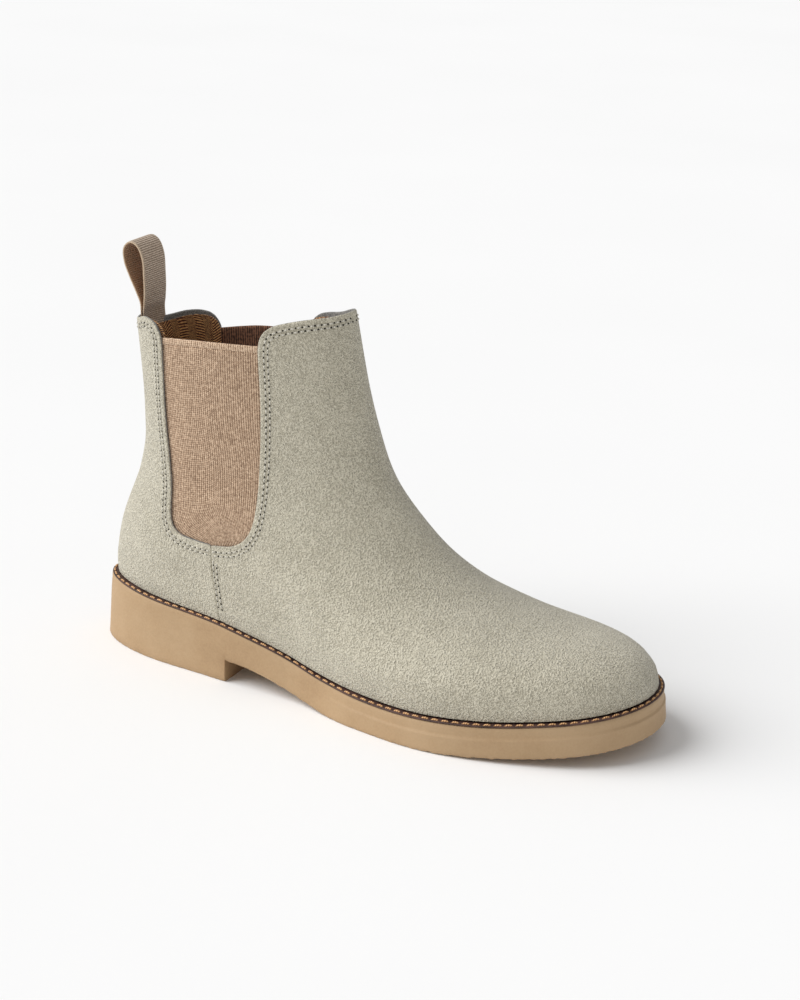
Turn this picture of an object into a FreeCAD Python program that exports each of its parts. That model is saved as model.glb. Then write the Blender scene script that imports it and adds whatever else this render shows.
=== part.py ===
import FreeCAD, Part
import math
import os

# Chelsea boot, right foot, about EU 43, in millimetres.
# +X points to the toe, +Y to the wearer's left (the inner side of a right foot) and +Z up.
# The origin is on the ground under the middle of the sole's box.
# Along the boot, "station" is the distance from the back of the heel.

Vector = FreeCAD.Vector
doc = FreeCAD.newDocument("ChelseaBoot")

# ---------------------------------------------------------------- driving sizes

SIZES = [
    ("sole_length", 302.0),
    ("heel_height", 32.2),
    ("ball_height", 13.1),
    ("toe_height", 24.5),
    ("heel_breast", 87.0),
    ("breast_height", 11.2),
    ("waist_end", 157.0),
    ("spring_start", 190.0),
    ("toe_spring", 10.1),
    ("heel_flare", 2.6),
    ("forepart_flare", 6.2),
    ("welt_thickness", 2.2),
    ("welt_inset", 2.1),
    ("welt_width", 12.0),
    ("layer_gap", 0.08),
    ("upper_gap", 0.14),
    ("suede_thickness", 1.6),
    ("stiffener_thickness", 1.1),
    ("lining_thickness", 0.8),
    ("board_thickness", 2.0),
    ("footbed_thickness", 4.0),
    ("footbed_inset", 9.6),
    ("heel_pad_thickness", 2.0),
    ("shank_width", 14.0),
    ("shank_thickness", 1.2),
    ("groove_width", 2.0),
    ("groove_depth", 1.2),
    ("groove_length", 66.0),
    ("gore_margin", 7.0),
    ("webbing_width", 20.0),
    ("webbing_thickness", 1.0),
    ("tab_offset", 2.0),
    ("tab_axis_height", 174.3),
    ("tab_axis_station", 24.0),
    ("thread_radius", 0.3),
    ("welt_thread_radius", 0.45),
    ("stitch_pitch", 3.0),
    ("welt_stitch_pitch", 5.0),
    ("stock_height", 46.0),
    ("stock_width", 220.0),
]

sheet = doc.addObject("Spreadsheet::Sheet", "Sizes")
for row, (alias, number) in enumerate(SIZES, 1):
    sheet.set(f"A{row}", alias)
    sheet.set(f"B{row}", str(number))
    sheet.setAlias(f"B{row}", alias)
doc.recompute()


def size(alias):
    return float(sheet.get(alias))


LENGTH = size("sole_length")
GAP = size("layer_gap")

# ---------------------------------------------------------------- curves of the boot


def smooth(at, knots):
    """A smooth curve through knots (place, value) that never overshoots them."""
    last = len(knots) - 1
    if at <= knots[0][0]:
        return knots[0][1]
    if at >= knots[last][0]:
        return knots[last][1]
    k = 0
    while at > knots[k + 1][0]:
        k += 1

    def slope(i):
        if i == 0 or i == last:
            j = 0 if i == 0 else last - 1
            return (knots[j + 1][1] - knots[j][1]) / (knots[j + 1][0] - knots[j][0])
        before = knots[i][0] - knots[i - 1][0]
        after = knots[i + 1][0] - knots[i][0]
        rise_before = (knots[i][1] - knots[i - 1][1]) / before
        rise_after = (knots[i + 1][1] - knots[i][1]) / after
        if rise_before * rise_after <= 0:
            return 0.0
        weight_before = 2 * after + before
        weight_after = after + 2 * before
        total = weight_before + weight_after
        return total / (weight_before / rise_before + weight_after / rise_after)

    (p, a), (q, b) = knots[k], knots[k + 1]
    span = q - p
    f = (at - p) / span
    start, end = slope(k) * span, slope(k + 1) * span
    value = (2 * f**3 - 3 * f**2 + 1) * a + (f**3 - 2 * f**2 + f) * start
    return value + (3 * f**2 - 2 * f**3) * b + (f**3 - f**2) * end


def ease(f):
    """Rises smoothly from 0 to 1 as f does."""
    f = min(1.0, max(0.0, f))
    return f * f * (3 - 2 * f)


def sole_top(station):
    """Height of the sole unit's top face: high at the heel, lowest at the ball."""
    heel, ball, toe = size("heel_height"), size("ball_height"), size("toe_height")
    share = station / LENGTH
    return smooth(
        share,
        [
            (0.0, heel),
            (0.1, 0.94 * heel),
            (0.25, 0.85 * heel),
            (0.36, 0.69 * heel),
            (0.48, 0.46 * heel),
            (0.6, ball),
            (0.75, ball + 1.5),
            (0.88, ball + 5.7),
            (1.0, toe),
        ],
    )


# A closed line round the foot is an ellipse from back to front whose half width is
# multiplied by a bulge. Each list gives that bulge at these shares of the length.
SHARES = (0.0, 0.10, 0.25, 0.40, 0.55, 0.70, 0.85, 1.0)
SOLE_BULGE = {
    "lateral": (47, 44.3, 39.5, 40.6, 52.9, 64, 68.5, 80),
    "medial": (53, 50, 37.3, 29.5, 38.2, 55.5, 68.5, 81),
}


def half_width(share, bulges):
    ellipse = 2 * math.sqrt(max(share * (1 - share), 0.0))
    return ellipse * smooth(share, list(zip(SHARES, bulges)))


def widest(bulges):
    return max(half_width(i / 400, bulges) for i in range(401))


# moves the sole's middle to the origin
CENTRE_X = -LENGTH / 2
CENTRE_Y = (widest(SOLE_BULGE["lateral"]) - widest(SOLE_BULGE["medial"])) / 2


def at(station, side, height):
    """A point of the boot; side is negative towards the outer (lateral) side."""
    return Vector(station + CENTRE_X, side + CENTRE_Y, height)


def sole_point(angle):
    share = (1 - math.cos(angle)) / 2
    bulges = SOLE_BULGE["lateral"] if angle <= math.pi else SOLE_BULGE["medial"]
    sign = -1 if angle <= math.pi else 1
    return LENGTH * share, sign * half_width(share, bulges)


def inset_point(angle, inset):
    """A point of the sole's outline, moved in; inset is a number or a rule of station."""
    x, y = sole_point(angle)
    x0, y0 = sole_point((angle - 0.01) % (2 * math.pi))
    x1, y1 = sole_point((angle + 0.01) % (2 * math.pi))
    run = math.hypot(x1 - x0, y1 - y0)
    move = inset(x) if callable(inset) else inset
    return x - (y1 - y0) / run * move, y + (x1 - x0) / run * move


def outline_curves(inset, count=28):
    """The sole's outline, moved in, as one smooth closed curve."""
    curve = Part.BSplineCurve()
    angles = [2 * math.pi * i / count for i in range(count)]
    flat = [inset_point(angle, inset) for angle in angles]
    curve.interpolate(Points=[at(x, y, 0) for x, y in flat], PeriodicFlag=True)
    return [curve]


# ---------------------------------------------------------------- PartDesign helpers


def new_body(name):
    body = doc.addObject("PartDesign::Body", name)
    body.Label = name
    return body


def new_sketch(body, name, role, curves):
    sketch = body.newObject("Sketcher::SketchObject", name)
    planes = [f for f in body.Origin.OriginFeatures if f.Role == role]
    sketch.AttachmentSupport = [(planes[0], "")]
    sketch.MapMode = "FlatFace"
    for curve in curves:
        sketch.addGeometry(curve, False)
    return sketch


def pad(body, sketch, length):
    feature = body.newObject("PartDesign::Pad", sketch.Name + "_pad")
    feature.Profile = sketch
    feature.setExpression("Length", length)
    doc.recompute()
    return feature


def meshed_volume(shape):
    """Volume from a fine mesh, which is the exact enough one for trimmed spline faces."""
    points, facets = shape.tessellate(0.3)
    return sum(points[a].dot(points[b].cross(points[c])) for a, b, c in facets) / 6


def pocket(body, sketch, length):
    """Cuts the sketch out and makes sure that something was cut."""
    before = meshed_volume(body.Shape)
    feature = body.newObject("PartDesign::Pocket", sketch.Name + "_cut")
    feature.Profile = sketch
    feature.setExpression("Length", length)
    feature.SideType = "Symmetric"
    doc.recompute()
    if not meshed_volume(body.Shape) < before - 1.0:
        raise RuntimeError(f"{sketch.Name} cuts nothing")
    return feature


def polyline(points):
    return [Part.LineSegment(a, b) for a, b in zip(points[:-1], points[1:])]


def spline(points):
    curve = Part.BSplineCurve()
    curve.interpolate(Points=points)
    return curve


OVERRUN = 8.0
STEPS = 20


def along(low, high, height, count=STEPS):
    """Points in a side view, as sketch coordinates, for a height given by station."""
    stations = [low + (high - low) * i / count for i in range(count + 1)]
    return [Vector(s + CENTRE_X, height(s), 0) for s in stations]


def sole_line(offset):
    return along(-OVERRUN, LENGTH + OVERRUN, lambda s: sole_top(s) + offset)


def shave(body, name, offset, above):
    """Removes what is above or below a line that runs along the sole's top face."""
    line = sole_line(offset)
    level = size("stock_height") + OVERRUN if above else -OVERRUN
    first, last = line[0], line[-1]
    corners = [last, Vector(last.x, level, 0), Vector(first.x, level, 0), first]
    sketch = new_sketch(body, name, "XZ_Plane", [spline(line)] + polyline(corners))
    return pocket(body, sketch, "Sizes.stock_width")


def plate(name, inset, low, high, hole=None, curves=None):
    """A layer along the sole line, from low to high above the sole unit's top face."""
    body = new_body(name)
    edge = curves or outline_curves(inset)
    if hole is not None:
        edge += outline_curves(hole)
    pad(body, new_sketch(body, name + "_outline", "XY_Plane", edge), "Sizes.stock_height")
    shave(body, name + "_upper", high, above=True)
    if low is not None:
        shave(body, name + "_lower", low, above=False)
    return body


# ---------------------------------------------------------------- sole unit


def flare(station):
    """How far the wall leans in over the full height of the moulding block."""
    start, end = 0.3 * LENGTH, 0.55 * LENGTH
    return smooth(station, [(start, size("heel_flare")), (end, size("forepart_flare"))])


def sole_bottom(station):
    """The underside: arched between the heel and the tread, turned up at the toe."""
    breast, end = size("heel_breast"), size("waist_end")
    start = size("spring_start")
    if breast <= station < end:
        return size("breast_height") * (1 - ease((station - breast) / (end - breast)))
    if station < start:
        return 0.0
    return size("toe_spring") * ((station - start) / (LENGTH - start)) ** 2


def tread_edge(station):
    """Moves the block's foot out so that the true outline lies at the underside's height."""
    return -flare(station) * sole_bottom(station) / size("stock_height")


def under_cut(body, name, low, high):
    """Clears the space below the underside between two stations."""
    points = along(low, high, sole_bottom)
    points[-1 if low < size("waist_end") else 0].y = -0.3
    corners = [points[-1], Vector(points[-1].x, -OVERRUN, 0)]
    corners += [Vector(points[0].x, -OVERRUN, 0), points[0]]
    sketch = new_sketch(body, name, "XZ_Plane", [spline(points)] + polyline(corners))
    return pocket(body, sketch, "Sizes.stock_width")


def cut_grooves(body, name, stations):
    """Cross grooves of the tread, kept clear of the side walls."""
    half, depth = size("groove_width") / 2, size("groove_depth")
    edges = []
    for station in stations:
        floor = sole_bottom(station)
        x = station + CENTRE_X
        low, high = floor - 2.0, floor + depth
        ring = [(x - half, low), (x + half, low), (x + half, high), (x - half, high)]
        ring.append(ring[0])
        edges += polyline([Vector(u, v, 0) for u, v in ring])
    sketch = new_sketch(body, name, "XZ_Plane", edges)
    return pocket(body, sketch, "Sizes.groove_length")


def make_outsole():
    """Moulded rubber unit: heel, waist and forepart in one piece."""
    body = new_body("outsole")
    bottom = new_sketch(body, "outsole_bottom", "XY_Plane", outline_curves(tread_edge))
    top = new_sketch(body, "outsole_top", "XY_Plane", outline_curves(flare))
    top.setExpression("AttachmentOffset.Base.z", "Sizes.stock_height")
    block = body.newObject("PartDesign::AdditiveLoft", "outsole_block")
    block.Profile = bottom
    block.Sections = [top]
    block.Ruled = True
    doc.recompute()
    shave(body, "outsole_top_line", 0.0, above=True)
    under_cut(body, "outsole_waist", size("heel_breast"), size("waist_end"))
    under_cut(body, "outsole_toe", size("spring_start"), LENGTH + OVERRUN)
    cut_grooves(body, "heel_tread", [18 + 10 * i for i in range(6)])
    cut_grooves(body, "forepart_tread", [168 + 10 * i for i in range(11)])
    return body


# ---------------------------------------------------------------- bottom layers

WELT_TOP = size("welt_thickness")
BOARD_LOW = WELT_TOP + GAP
BOARD_TOP = BOARD_LOW + size("board_thickness")
FOOTBED_LOW = BOARD_TOP + GAP
FOOTBED_TOP = FOOTBED_LOW + size("footbed_thickness")
WELT_INNER = size("welt_inset") + size("welt_width")


def stadium(centre, length, width):
    """A long plan shape with round ends, as two lines and two arcs."""
    radius = width / 2
    left = at(centre - length / 2 + radius, 0, 0)
    right = at(centre + length / 2 - radius, 0, 0)
    up = Vector(0, radius, 0)
    back = Vector(-radius, 0, 0)
    return [
        Part.LineSegment(left - up, right - up),
        Part.Arc(right - up, right - back, right + up),
        Part.LineSegment(right + up, left + up),
        Part.Arc(left + up, left + back, left - up),
    ]


SHANK_CENTRE = 112.0
SHANK_LENGTH = 104.0
SHANK_LOW = 0.4


def make_shank():
    """Spring steel strip that stiffens the waist, bedded in the bottom filler."""
    edge = stadium(SHANK_CENTRE, SHANK_LENGTH, size("shank_width"))
    top = SHANK_LOW + size("shank_thickness")
    return plate("shank", None, SHANK_LOW, top, curves=edge)


def make_filler():
    """Cork mix that fills the space inside the welt, with a slot for the shank."""
    body = plate("bottom_filler", WELT_INNER + 0.2, GAP, WELT_TOP)
    room = 0.1
    edge = stadium(SHANK_CENTRE, SHANK_LENGTH + 2 * room, size("shank_width") + 2 * room)
    slot = plate("shank_slot", None, SHANK_LOW - room, WELT_TOP + 1.0, curves=edge)
    return cut_by("bottom_filler_cut", body, slot)


def cut_by(name, base, tool):
    result = doc.addObject("Part::Cut", name)
    result.Base = base
    result.Tool = tool
    doc.recompute()
    return result


def common_of(name, base, tool):
    result = doc.addObject("Part::Common", name)
    result.Base = base
    result.Tool = tool
    doc.recompute()
    return result


HEEL_PAD_CENTRE = 46.0
HEEL_PAD_LENGTH = 46.0
HEEL_PAD_WIDTH = 30.0


def make_footbed():
    """Foam sock with a textile face, hollowed underneath for the heel pad."""
    body = plate("footbed_sheet", size("footbed_inset"), FOOTBED_LOW, FOOTBED_TOP)
    room = 0.15
    edge = stadium(HEEL_PAD_CENTRE, HEEL_PAD_LENGTH + 2 * room, HEEL_PAD_WIDTH + 2 * room)
    top = FOOTBED_LOW + size("heel_pad_thickness") + room
    hollow = plate("heel_pad_hollow", None, FOOTBED_LOW - 1.0, top, curves=edge)
    return cut_by("footbed", body, hollow)


def make_heel_pad():
    edge = stadium(HEEL_PAD_CENTRE, HEEL_PAD_LENGTH, HEEL_PAD_WIDTH)
    top = FOOTBED_LOW + size("heel_pad_thickness")
    return plate("heel_pad", None, FOOTBED_LOW, top, curves=edge)


# ---------------------------------------------------------------- upper surface
# The upper is a stack of closed rings. Level 0 is the line where it meets the welt and
# level 1 runs through the collar. A ring goes from the back profile to the ridge, the
# line over the toe, instep and shin. Knots are (level, station, height).

RIDGE = [
    (0.00, 297.3, 27.0),
    (0.06, 296.6, 32.5),
    (0.13, 292.7, 38.4),
    (0.20, 286.0, 43.4),
    (0.28, 273.5, 47.3),
    (0.36, 254.0, 49.6),
    (0.46, 223.5, 55.8),
    (0.56, 193.5, 69.7),
    (0.64, 173.0, 88.6),
    (0.71, 158.0, 108.0),
    (0.78, 150.0, 129.0),
    (0.88, 143.4, 151.5),
    (0.96, 138.7, 173.0),
    (1.00, 135.5, 188.2),
    (1.06, 131.5, 204.0),
]
BACK = [
    (0.00, 5.0, 34.6),
    (0.06, 4.7, 38.0),
    (0.13, 4.8, 43.0),
    (0.20, 5.5, 49.0),
    (0.28, 6.6, 56.0),
    (0.36, 8.4, 64.0),
    (0.46, 11.8, 74.0),
    (0.56, 15.9, 84.0),
    (0.64, 19.2, 92.0),
    (0.71, 21.8, 102.0),
    (0.78, 23.4, 112.0),
    (0.88, 23.2, 131.0),
    (0.96, 21.6, 152.0),
    (1.00, 20.0, 167.0),
    (1.06, 18.6, 182.0),
]
LEVELS = (0.0, 0.15, 0.32, 0.55, 0.75, 1.0)
UPPER_BULGE = {
    "lateral": (
        (38, 37.3, 34.8, 36.3, 47.6, 58.7, 62.8, 73),
        (41, 40, 36.5, 38, 49, 60, 63, 68),
        (39, 42, 37, 37, 43, 49, 52, 48),
        (34, 36, 34.5, 33, 34, 36, 38, 36),
        (33, 31.5, 31, 30, 29, 29, 29, 28),
        (38, 31.5, 29.5, 29.5, 29.5, 29, 28, 27),
    ),
    "medial": (
        (44.5, 43, 32.1, 25.2, 32.9, 49.7, 62.5, 74),
        (46, 45, 34, 29, 36, 51, 62.5, 68),
        (42, 43, 38, 34, 38, 43, 46.5, 46.5),
        (34, 36, 35, 33, 33, 34, 36, 36),
        (33, 31.5, 31, 30, 29, 29, 29, 28),
        (38, 31.5, 29.5, 29.5, 29.5, 29, 28, 27),
    ),
}
# how far the ridge lies towards the inner side, by station
RIDGE_SWING = [(0.0, 0.0), (120.0, 0.0), (200.0, 3.0), (260.0, 2.0), (302.0, 0.0)]
FEATHER_LIFT = WELT_TOP + GAP
TOP_LEVEL = RIDGE[-1][0]


def ring_data(level):
    """What all points of one ring share: its two ends and its bulges."""
    ends = [
        smooth(level, [(k[0], k[axis]) for k in line])
        for line in (BACK, RIDGE)
        for axis in (1, 2)
    ]
    capped = min(level, 1.0)
    bulges = {
        side: [
            smooth(capped, list(zip(LEVELS, [row[i] for row in rows])))
            for i in range(len(SHARES))
        ]
        for side, rows in UPPER_BULGE.items()
    }
    return ends, bulges


def ring_point(data, level, share, side):
    """The point of a ring at a share of its length, on one side."""
    (back_x, back_z, front_x, front_z), bulges = data
    x = back_x + (front_x - back_x) * share
    sign = -1 if side == "lateral" else 1
    swing = ease(level / 0.5) * (1 - max(0.0, (level - 0.6) / 0.4))
    y = sign * half_width(share, bulges[side]) + smooth(x, RIDGE_SWING) * swing
    straight = back_z + (front_z - back_z) * share
    lift_back = back_z - sole_top(back_x) - FEATHER_LIFT
    lift_front = front_z - sole_top(front_x) - FEATHER_LIFT
    followed = sole_top(x) + FEATHER_LIFT + lift_back * (1 - share) + lift_front * share
    blend = ease(level / 0.9)
    return Vector(x, y, followed * (1 - blend) + straight * blend)


def skin(turn, level, data=None):
    """A point of the upper's outer face; turn runs 0 to 1: back, outer side, toe, inner side."""
    turn = turn % 1.0
    data = data or ring_data(level)
    share = (1 - math.cos(2 * math.pi * turn)) / 2
    side = "lateral" if turn <= 0.5 else "medial"
    return ring_point(data, level, share, side)


def skin_grid(turns, levels):
    """Points and outward normals of the outer face on a grid."""
    step_turn, step_level = 0.004, 0.006
    points, normals = [], []
    for level in levels:
        low = max(0.0, level - step_level)
        high = min(TOP_LEVEL, level + step_level)
        data, below, above = ring_data(level), ring_data(low), ring_data(high)
        row, row_normals = [], []
        for turn in turns:
            p = skin(turn, level, data)
            around = skin(turn + step_turn, level, data) - skin(turn - step_turn, level, data)
            up = skin(turn, high, above) - skin(turn, low, below)
            normal = around.cross(up)
            if level == 0.0:
                normal.z = 0.0
            normal.normalize()
            row.append(p)
            row_normals.append(normal)
        points.append(row)
        normals.append(row_normals)
    return points, normals


def offset_surface(grid, depth):
    """A smooth surface at a depth under the outer face."""
    points, normals = grid
    moved = [
        [at(*(p - n * depth)) for p, n in zip(row, row_normals)]
        for row, row_normals in zip(points, normals)
    ]
    surface = Part.BSplineSurface()
    surface.interpolate(moved)
    return surface


def layer_solid(turns, levels, outer_depth, inner_depth):
    """A sheet of the upper: two smooth faces and the four strips that close its edges."""
    grid = skin_grid(turns, levels)
    outer, inner = offset_surface(grid, outer_depth), offset_surface(grid, inner_depth)
    faces = [outer.toShape(), inner.toShape()]
    for surface_edges in ("uIso", "vIso"):
        for end in (0, 1):
            edges = []
            for surface in (outer, inner):
                bounds = surface.bounds()
                place = bounds[end] if surface_edges == "uIso" else bounds[2 + end]
                edges.append(getattr(surface, surface_edges)(place).toShape())
            faces.append(Part.makeRuledSurface(*edges))
    shell = Part.makeShell(faces)
    shell.sewShape()
    solid = Part.makeSolid(shell)
    if solid.Volume < 0:
        solid.reverse()
    return solid


def spread(low, high, count):
    return [low + (high - low) * i / count for i in range(count + 1)]


def feature(name, shape):
    item = doc.addObject("Part::Feature", name)
    item.Label = name
    item.Shape = shape
    item.Placement = FreeCAD.Placement()
    return item


UPPER_GAP = size("upper_gap")
SUEDE = (0.0, size("suede_thickness"))
STIFFENER = (SUEDE[1] + UPPER_GAP, SUEDE[1] + UPPER_GAP + size("stiffener_thickness"))
LINING = (STIFFENER[1] + UPPER_GAP, STIFFENER[1] + UPPER_GAP + size("lining_thickness"))
BACK_SLIT = 0.0003
AROUND = 72
UP = 32
TURN_STEP = 1 / AROUND
BACK_STEPS = 27


def full_layer(name, depths):
    """A layer of the whole upper, open along the back seam."""
    turns = spread(BACK_SLIT, 1 - BACK_SLIT, AROUND)
    return feature(name, layer_solid(turns, spread(0.0, TOP_LEVEL, UP), *depths))


def back_layer(name, depths):
    """A layer round the heel and both sides of the shaft in one sheet, open in front."""
    turns = [TURN_STEP * i for i in range(-BACK_STEPS, BACK_STEPS + 1)]
    return feature(name, layer_solid(turns, spread(0.0, TOP_LEVEL, UP), *depths))


# ---------------------------------------------------------------- pattern lines
# Side views of the pattern pieces as (station, height). The inner side of the shaft
# is cut a little lower, and its quarter reaches further forward.

INNER_DROP = 4.5
INNER_QUARTER_REACH = 6.0

COLLAR_FRONT = [(150, 190), (135.5, 187.9), (130.5, 186.8), (119, 185.1), (110, 183.0)]
COLLAR_FRONT += [(105.5, 181.4), (102.0, 178.8), (100.0, 175.5), (99.2, 171.0)]
GORE_FRONT = [(99.2, 171.0), (99.9, 160), (101.0, 146), (101.6, 125), (101.4, 104)]
GORE_FRONT += [(100.8, 90), (99.4, 82), (96.4, 76.2), (92, 72.4), (86.5, 70.2), (77, 69.0)]
SIDE_SEAM = [(77, 69.0), (78.2, 55), (80.5, 36), (81.5, 10)]
GORE_BACK = [(77, 69.0), (68, 69.0), (61, 69.6), (55.5, 71.6), (52, 75.5), (51, 82)]
GORE_BACK += [(50.8, 92), (49.2, 104), (46.6, 120), (45, 136), (44.2, 152), (43.6, 165.5)]
COLLAR_BACK = [(43.6, 165.5), (42.2, 169.4), (40, 172.2), (37, 174.0), (33, 174.7)]
COLLAR_BACK += [(29.5, 174.2), (25.5, 172.4), (21, 171.2), (10, 170.6)]
GORE_TOP = [(30, 164.6), (43, 166.4), (55, 168.2), (70, 169.7), (84, 170.6), (112, 171.6)]


def mirrored(points, drop_from):
    """The same line on the inner side: lower at the collar, quarter edge further forward."""
    moved = []
    for x, z in points:
        drop = INNER_DROP * ease((z - 90) / 80) * ease((drop_from - x) / 20)
        reach = INNER_QUARTER_REACH * ease((62 - x) / 10) * ease((x - 22) / 14)
        moved.append((x + reach * ease((z - 60) / 40), z - drop))
    return moved


def side_curve(points, side):
    line = points if side == "lateral" else mirrored(points, 136.0)
    return spline([Vector(x + CENTRE_X, z, 0) for x, z in line])


def side_prism(name, lines, corners, side):
    """A side-view region, pushed out to one side of the boot."""
    sketch = doc.addObject("Sketcher::SketchObject", name + "_sketch")
    sketch.Placement = FreeCAD.Placement(Vector(), FreeCAD.Rotation(Vector(1, 0, 0), 90))
    curves = [side_curve(line, side) for line in lines]
    for curve in curves:
        sketch.addGeometry(curve, False)
    ends = [curves[-1].EndPoint] + [Vector(x + CENTRE_X, z, 0) for x, z in corners]
    ends.append(curves[0].StartPoint)
    if corners:
        for line in polyline(ends):
            sketch.addGeometry(line, False)
    prism = doc.addObject("Part::Extrusion", name)
    prism.Base = sketch
    prism.DirMode = "Custom"
    prism.Dir = Vector(0, -1 if side == "lateral" else 1, 0)
    prism.setExpression("LengthFwd", "Sizes.stock_width / 2")
    prism.Solid = True
    prism.Placement = FreeCAD.Placement(Vector(0, CENTRE_Y, 0), FreeCAD.Rotation())
    doc.recompute()
    return prism


def make_vamp(name, layer):
    """Front of the boot: toe, instep and shin in one piece, cut away behind and above."""
    piece = layer
    for side in ("lateral", "medial"):
        lines = [COLLAR_FRONT, GORE_FRONT, SIDE_SEAM]
        corners = [(81.5, -30), (-30, -30), (-30, 240), (170, 240)]
        tool = side_prism(f"{name}_away_{side}", lines, corners, side)
        piece = cut_by(f"{name}_{side}_cut", piece, tool)
    piece.Label = name
    return piece


def make_quarter(name, layer, side, gap=0.1):
    """Back of the boot on one side, from the back seam to the gore and the side seam."""
    back_lines = [[(x - gap, z) for x, z in reversed(SIDE_SEAM)], GORE_BACK, COLLAR_BACK]
    back_lines[0][-1] = GORE_BACK[0]
    tool = side_prism(name + "_region", back_lines, [(-30, 170.6), (-30, -30), (81.4, -30)], side)
    piece = common_of(name + "_piece", layer, tool)
    piece.Label = name
    return piece


def make_gore(name, layer, side):
    """Elastic panel; its margins run under the suede on three sides."""
    margin = size("gore_margin")
    low = 69.0 - margin + 1.0
    front = [(112, 171.6), (99.2 + margin, 160), (101.6 + margin, 125), (100.8 + margin, 90)]
    front += [(98 + margin, 76), (90 + margin, 66), (80, low)]
    back = [(80, low), (62, low), (50, 65), (45.5, 74), (44, 92), (42.4, 104), (39.6, 120)]
    back += [(37.4, 140), (36.6, 152), (36.2, 160), (30, 164.6)]
    tool = side_prism(name + "_region", [GORE_TOP, front, back], [], side)
    piece = common_of(name + "_piece", layer, tool)
    piece.Label = name
    return piece


COUNTER_EDGE = [(60, 0), (58, 25), (56, 38), (50, 49), (38, 55.5), (22, 58), (-30, 58)]
PUFF_EDGE = [(246, 90), (247, 60), (252, 40), (258, 20), (262, 0)]


def make_stiffener(name, layer, edge, corners):
    """A stiff piece between the suede and the lining: the layer without what lies past its edge."""
    piece = layer
    for side in ("lateral", "medial"):
        tool = side_prism(f"{name}_away_{side}", [edge], corners, side)
        piece = cut_by(f"{name}_{side}_cut", piece, tool)
    return piece


# ---------------------------------------------------------------- threads


def skin_at(station, height, side):
    """The outer face's point and outward normal at a place of the side view."""
    low, high = 0.0, TOP_LEVEL

    def probe(level):
        data = ring_data(level)
        back_x, front_x = data[0][0], data[0][2]
        share = min(0.9999, max(0.0001, (station - back_x) / (front_x - back_x)))
        return ring_point(data, level, share, side)

    for _ in range(22):
        middle = (low + high) / 2
        if probe(middle).z < height:
            low = middle
        else:
            high = middle
    return probe(low)


def skin_normal(station, height, side):
    here = skin_at(station, height, side)
    ahead = skin_at(station + 1.0, height, side) - here
    above = skin_at(station, height + 1.0, side) - here
    normal = ahead.cross(above)
    if (normal.y > 0) == (side == "lateral"):
        normal = normal * -1
    normal.normalize()
    return here, normal


def stitch_places(line, start, pitch, length):
    """Start and end points of stitches along a side-view line."""
    lengths = [0.0]
    for a, b in zip(line[:-1], line[1:]):
        lengths.append(lengths[-1] + math.dist(a, b))
    xs = list(zip(lengths, [p[0] for p in line]))
    zs = list(zip(lengths, [p[1] for p in line]))
    places = []
    run = start
    while run + length < lengths[-1]:
        ends = [(smooth(r, xs), smooth(r, zs)) for r in (run, run + length)]
        places.append(ends)
        run += pitch
    return places


def shifted(line, distance):
    """A side-view line moved sideways by a distance, to the left of its direction."""
    moved = []
    for i, (x, z) in enumerate(line):
        before = line[max(0, i - 1)]
        after = line[min(len(line) - 1, i + 1)]
        run = math.dist(before, after)
        dx, dz = (after[0] - before[0]) / run, (after[1] - before[1]) / run
        moved.append((x - dz * distance, z + dx * distance))
    return moved


def thread(start, end, radius):
    run = end - start
    return Part.makeCylinder(radius, run.Length, start, run)


def seam_threads(rows, side):
    """Stitches that lie on the suede along side-view lines."""
    radius = size("thread_radius")
    pitch = size("stitch_pitch")
    solids = []
    for row in rows:
        line = row if side == "lateral" else mirrored(row, 136.0)
        for ends in stitch_places(line, 3.0, pitch, 0.72 * pitch):
            (a, na), (b, nb) = [skin_normal(x, z, side) for x, z in ends]
            lift = radius + 0.1
            solids.append(thread(at(*(a + na * lift)), at(*(b + nb * lift)), radius))
    return Part.makeCompound(solids)


def make_welt_threads():
    """Lockstitch that runs all round the top of the welt."""
    radius = size("welt_thread_radius")
    inset = size("welt_inset") + 1.0
    around = [inset_point(2 * math.pi * i / 720, inset) for i in range(1, 720)]
    around = [(inset, 0.0)] + around + [(inset, 0.0)]
    lengths = [0.0]
    for a, b in zip(around[:-1], around[1:]):
        lengths.append(lengths[-1] + math.dist(a, b))
    xs = list(zip(lengths, [p[0] for p in around]))
    ys = list(zip(lengths, [p[1] for p in around]))
    count = round(lengths[-1] / size("welt_stitch_pitch"))
    pitch = lengths[-1] / count
    solids = []
    for i in range(count):
        ends = []
        for run in (i * pitch + 0.7, (i + 1) * pitch - 0.7):
            x, y = smooth(run, xs), smooth(run, ys)
            ends.append(at(x, y, sole_top(x) + WELT_TOP + radius + 0.12))
        solids.append(thread(*ends, radius))
    return feature("welt_stitching", Part.makeCompound(solids))


# ---------------------------------------------------------------- pull tab

# middle line of the loop in a side view, from the axis up the front leg, over and down
LOOP = [(0.0, 0.0), (0.9, 9.0), (0.6, 17.0), (0.3, 23.0), (-0.8, 27.5), (-3.2, 31.6)]
LOOP += [(-6.6, 33.2), (-9.6, 31.6), (-11.0, 28.0), (-10.4, 23.5), (-7.6, 16.5), (-3.6, 8.6)]
LOOP += [(-1.0, 2.0)]


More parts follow.
